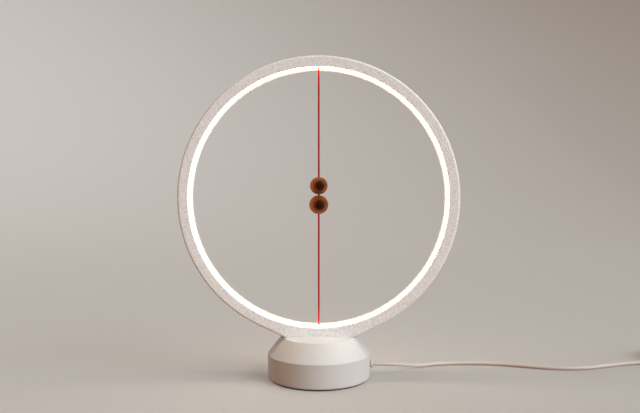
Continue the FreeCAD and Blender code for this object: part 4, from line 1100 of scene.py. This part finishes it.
@dataclass(frozen=True)
class Pendant:
    """One cord with its knots, magnet and turned bead."""

    side: Side
    pendant: Body
    knot: Body
    braid: Braid = Braid()
    knot_reach: float = 0.62 * MM
    swing_knot_thickness: float = 0.50 * MM
    swing_knot_depth: float = 1.1
    stopper_thickness: float = 0.40 * MM
    stopper_depth: float = 0.1

    def build(self, red: bpy.types.Material, nickel: bpy.types.Material) -> None:
        """Builds the cord and its knots and dresses the bead and magnet.

        Args:
            red: the braid's material.
            nickel: the magnet's material.
        """
        side = self.side.value
        knot = self._middle(f"{side}_cord_knot")
        self._hang_cord(knot, red)
        low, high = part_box(f"{side}_bead")
        # The heart's height places the bead's painted dark middle, which is painted shade, at its
        # middle.
        wood = replace(WALNUT, name=f"{side} bead walnut", heart=(low.z + high.z) / 2,
                       radius=(high.x - low.x) / 2)
        dress(wood.material(), f"{side}_bead")
        dress(nickel, f"{side}_magnet")
        swivel = TiedKnot(tuple(knot), self.knot_reach, self.swing_knot_thickness,
                          self.swing_knot_depth)
        add_piece(f"{side}_swing_knot", swivel.build, red, self.knot,
                  [f"{side}_cord_knot"])
        stopper = TiedKnot(tuple(self._middle(f"{side}_end_knot")), self.knot_reach,
                           self.stopper_thickness, self.stopper_depth)
        # The stopper knot is painted near-black: painted shade between the beads.
        add_piece(f"{side}_stopper_knot", stopper.build, SHADED_KNOT_BRAID.material(), self.pendant,
                  [f"{side}_end_knot"])

    @staticmethod
    def _middle(node: str) -> Vector:
        """The middle of a node's box."""
        low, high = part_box(node)
        return (low + high) / 2

    def _hang_cord(self, knot: Vector, red: bpy.types.Material) -> None:
        """Braids the cord from its swing knot's end to the bead's.

        Args:
            knot: the middle of the swing knot.
            red: the braid's material.
        """
        side = self.side.value
        low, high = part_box(f"{side}_cord")
        start, end = (high.z, low.z) if knot.z > high.z else (low.z, high.z)
        middle = (start + end) / 2
        route = [(0.0, 0.0, start), (0.0, 0.0, middle), (0.0, 0.0, end)]
        line = CordLine(f"{side}_route", route).read()
        cord = add_piece(f"{side}_red_cord", lambda mesh: self.braid.build(mesh, line), red,
                         self.pendant, [f"{side}_cord"])


@dataclass(frozen=True)
class PutAwayTurns:
    """The turns of the lead that are put away: wound inwards on the floor, then outwards on top.

    first and last are the angles of the first and last point in degrees. Each span is the part of
    a turn over which the lead steps to the next column or climbs to the upper layer. stray is how
    far a turn strays from round, in lead diameters.
    """

    middle: tuple[float, float]
    floor: float
    outer: float
    across: float
    columns: int = 4
    first: float = -104.0
    last: float = 180.0
    steps: int = 24
    inward_span: Span = (0.88, 1.0)
    outward_span: Span = (0.79, 0.90)
    climb_span: Span = (0.83, 0.96)
    stray: float = 0.035
    stray_waves: float = 2.0
    stray_shift: float = 1.7

    def points(self) -> list[Point]:
        """Winds the turns.

        Returns:
            Their control points, from the floor's outer turn to the top's outer turn.
        """
        turns = 2 * self.columns - 1
        swing = FULL_TURN * turns + self.last - self.first
        count = round(swing / FULL_TURN * self.steps)
        return [self._point(swing * step / count / FULL_TURN) for step in range(count + 1)]

    def _point(self, walked: float) -> Point:
        """Places one control point.

        Args:
            walked: the turns from the first point to it.

        Returns:
            Its place.
        """
        turn = int(walked)
        part = walked - turn
        on_top = turn >= self.columns
        column = 2 * self.columns - 1 - turn if on_top else turn
        if on_top:
            column -= smooth_step(part, *self.outward_span)
        elif column < self.columns - 1:
            column += smooth_step(part, *self.inward_span)
        layer = 1.0 if on_top else 0.0
        if turn == self.columns - 1:
            layer = smooth_step(part, *self.climb_span)
        angle = math.radians(self.first + FULL_TURN * walked)
        stray = self.stray * math.sin(self.stray_waves * angle + self.stray_shift * turn)
        reach = (self.outer - (column + stray) * self.across) / math.cos(math.pi / self.steps)
        x = self.middle[0] + reach * math.cos(angle)
        y = self.middle[1] + reach * math.sin(angle)
        return x, y, self.floor + (layer + 0.5) * self.across


def smooth_step(value: float, low: float, high: float) -> float:
    """0 below low, 1 above high and smooth between."""
    share = min(1.0, max(0.0, (value - low) / (high - low)))
    return share * share * (3.0 - 2.0 * share)


@dataclass(frozen=True)
class SupplyLead:
    """The lead on the floor, its put-away turns, tie and plug.

    route leads from the grommet to the turns and tail from them to the plug, in millimetres.
    """

    radius: float = 1.8 * MM
    exit: Point = (0.049, 0.0, 0.0117)
    route: tuple[Point, ...] = (
        (60, 0, 11.7), (73, 4.5, 10.2), (84, 15, 6.6), (95, 28, 2.6), (109, 37, 1.9),
        (130, 40, 1.9), (156, 40, 1.9), (178, 36, 1.9), (201, 27, 1.9), (226, 20, 1.9),
        (252, 22, 1.9), (280, 33, 1.9), (308, 42, 1.9), (331, 39.8, 1.9))
    tail: tuple[Point, ...] = (
        (328.6, 49, 6.1), (328.3, 37, 5.8), (328.2, 25, 4.0), (328.2, 14, 4.0))
    length: float = 1.47

    def turns(self) -> PutAwayTurns:
        """Fits the put-away turns to their solid.

        Returns:
            The turns.
        """
        low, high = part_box("lead_coil")
        middle = (low + high) / 2
        outer = (high.x - low.x) / 2 - self.radius
        return PutAwayTurns((middle.x, middle.y), low.z, outer, 2 * self.radius)

    def build(self, nickel: bpy.types.Material) -> None:
        """Builds the lead as one smooth line and dresses its plug, tie and grommet.

        Args:
            nickel: the material of the plug's metal shell.
        """
        # The lead, grommet and inner end take the white jacket painted darker: painted shade.
        shaded_jacket = SHADED_WHITE_JACKET.material()
        on_floor = [tuple(c * MM for c in point) for point in self.route]
        to_plug = [tuple(c * MM for c in point) for point in self.tail]
        points = [self.exit, *on_floor, *self.turns().points(), *to_plug]
        data = CordLine("supply_lead", points).curve(self.radius)
        data.materials.append(shaded_jacket)
        lead = bpy.data.objects.new("supply_lead", data)
        bpy.context.scene.collection.objects.link(lead)
        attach(lead, Body.LAMP.value)
        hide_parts("power_lead", "lead_coil", "plug_lead")
        LOG.info("supply_lead: %d control points", len(points))
        dress(shaded_jacket, "lead_grommet", "lead_inner_end")
        dress(STRAP.material(), "lead_tie")
        dress(PLUG_PLASTIC.material(), "plug_body")
        dress(nickel, "plug_shell")
        dress(TONGUE.material(), "plug_tongue")


# ------------------------------------------------------------------------------- the studio


@dataclass(frozen=True)
class Lamp:
    """One distant soft light: where it comes from, how wide it looks, in degrees, and its power."""

    name: str
    source: Point
    spread: float
    power: float
    colour: Colour

    def build(self) -> None:
        """Hangs the light."""
        data = bpy.data.lights.new(self.name, "SUN")
        data.angle = math.radians(self.spread)
        data.energy = self.power
        data.color = self.colour
        light = bpy.data.objects.new(self.name, data)
        light.location = self.source
        light.rotation_euler = Vector(self.source).to_track_quat("Z", "Y").to_euler()
        bpy.context.scene.collection.objects.link(light)


@dataclass(frozen=True)
class Studio:
    """A pale floor that sweeps up all round, soft light and the camera.

    A large key comes from the right front, with fill from the right, the top and the back.
    """

    floor_seen: Colour = (0.30, 0.292, 0.285)
    floor_bounce: Colour = (0.36, 0.21, 0.12)
    floor_glow: Colour = (0.16, 0.145, 0.13)
    floor_roughness: float = 0.9
    flat: float = 1.5
    bend: float = 1.2
    bend_steps: int = 16
    round_steps: int = 128
    height: float = 2.0
    lamps: tuple[Lamp, ...] = (
        Lamp("key_light", (0.72, -0.52, 0.48), 50.0, 3.5, (0.87, 0.955, 1.0)),
        Lamp("side_light", (0.95, -0.15, 0.45), 50.0, 0.8, (0.96, 0.99, 1.0)),
        Lamp("top_light", (0.0, 0.05, 1.0), 40.0, 0.5, (1.0, 0.98, 0.84)),
        Lamp("back_light", (-0.30, 0.90, 0.35), 50.0, 1.9, (0.96, 0.99, 1.0)))
    surround: Colour = (1.0, 0.62, 0.42)
    surround_strength: float = 0.18
    camera_place: Point = (0.0011, -0.581, 0.1633)
    camera_tilt: float = -0.95
    focal_pixels: float = 646.0
    picture_width: float = 640.0
    sensor: float = 36.0

    def build(self) -> None:
        """Sets up the floor, the light, the world, the camera and the view."""
        self._lay_floor()
        for lamp in self.lamps:
            lamp.build()
        self._light_world()
        self._place_camera()
        bpy.context.scene.view_settings.view_transform = "Standard"

    def _lay_floor(self) -> None:
        """The floor and the backdrop round it, in one turned sheet."""
        profile = [(0.0, 0.0), (self.flat / 2, 0.0), (self.flat, 0.0)]
        for step in range(1, self.bend_steps + 1):
            turn = math.pi / 2 * step / self.bend_steps
            profile.append((self.flat + self.bend * math.sin(turn),
                            self.bend * (1.0 - math.cos(turn))))
        profile.append((self.flat + self.bend, self.height))
        mesh = bmesh.new()
        lathe(mesh, profile, self.round_steps)
        data = bpy.data.meshes.new("studio_floor")
        mesh.to_mesh(data)
        mesh.free()
        data.polygons.foreach_set("use_smooth", [True] * len(data.polygons))
        data.materials.append(self._floor_material())
        floor = bpy.data.objects.new("studio_floor", data)
        floor.visible_shadow = False
        bpy.context.scene.collection.objects.link(floor)

    def _floor_material(self) -> bpy.types.Material:
        """Paints the floor pale where it is seen, itself or in a gloss.

        Returns:
            The material, which lights the lamp with a warmer, darker tone than it shows.
        """
        graph = ShaderGraph("studio floor")
        rays = graph.node("LightPath").end.node.outputs
        camera, gloss, glass = (Socket(graph, rays[f"Is {kind} Ray"])
                                for kind in ("Camera", "Glossy", "Transmission"))
        share = (camera + gloss + glass).clamped()
        colour = graph.mixed(share, self.floor_bounce, self.floor_seen)
        glow = graph.mixed(share, BLACK, self.floor_glow)
        surface = graph.principled(Base_Color=colour, Roughness=self.floor_roughness,
                                   Emission_Color=glow, Emission_Strength=1.0)
        return graph.finish(surface)

    def _light_world(self) -> None:
        """An even, warm and weak surround."""
        world = bpy.data.worlds.new("studio")
        world.use_nodes = True
        sockets = world.node_tree.nodes["Background"].inputs
        sockets["Color"].default_value = (*self.surround, 1.0)
        sockets["Strength"].default_value = self.surround_strength
        bpy.context.scene.world = world

    def _place_camera(self) -> None:
        """The camera, level but for a slight tilt down."""
        data = bpy.data.cameras.new("camera")
        data.sensor_width = self.sensor
        data.lens = self.focal_pixels / self.picture_width * self.sensor
        camera = bpy.data.objects.new("camera", data)
        camera.location = self.camera_place
        camera.rotation_euler = (math.radians(LEVEL + self.camera_tilt), 0.0, 0.0)
        bpy.context.scene.collection.objects.link(camera)
        bpy.context.scene.camera = camera


def main() -> None:
    """Builds the studio, then the lamp's pieces in order, cords first."""
    logging.basicConfig(level=logging.INFO, format="%(message)s")
    red = RED_BRAID.material()
    nickel = NICKEL.material()
    Studio().build()
    SupplyLead().build(nickel)
    Pendant(Side.UPPER, Body.UPPER_PENDANT, Body.UPPER_KNOT).build(red, nickel)
    Pendant(Side.LOWER, Body.LOWER_PENDANT, Body.LOWER_KNOT).build(red, nickel)
    dress(red, "pull_cord", "upper_cord_anchor")
    LightRing().build()
    RoundBase().build()
    PullSwitch().build(nickel)


if __name__ == "__main__":
    main()
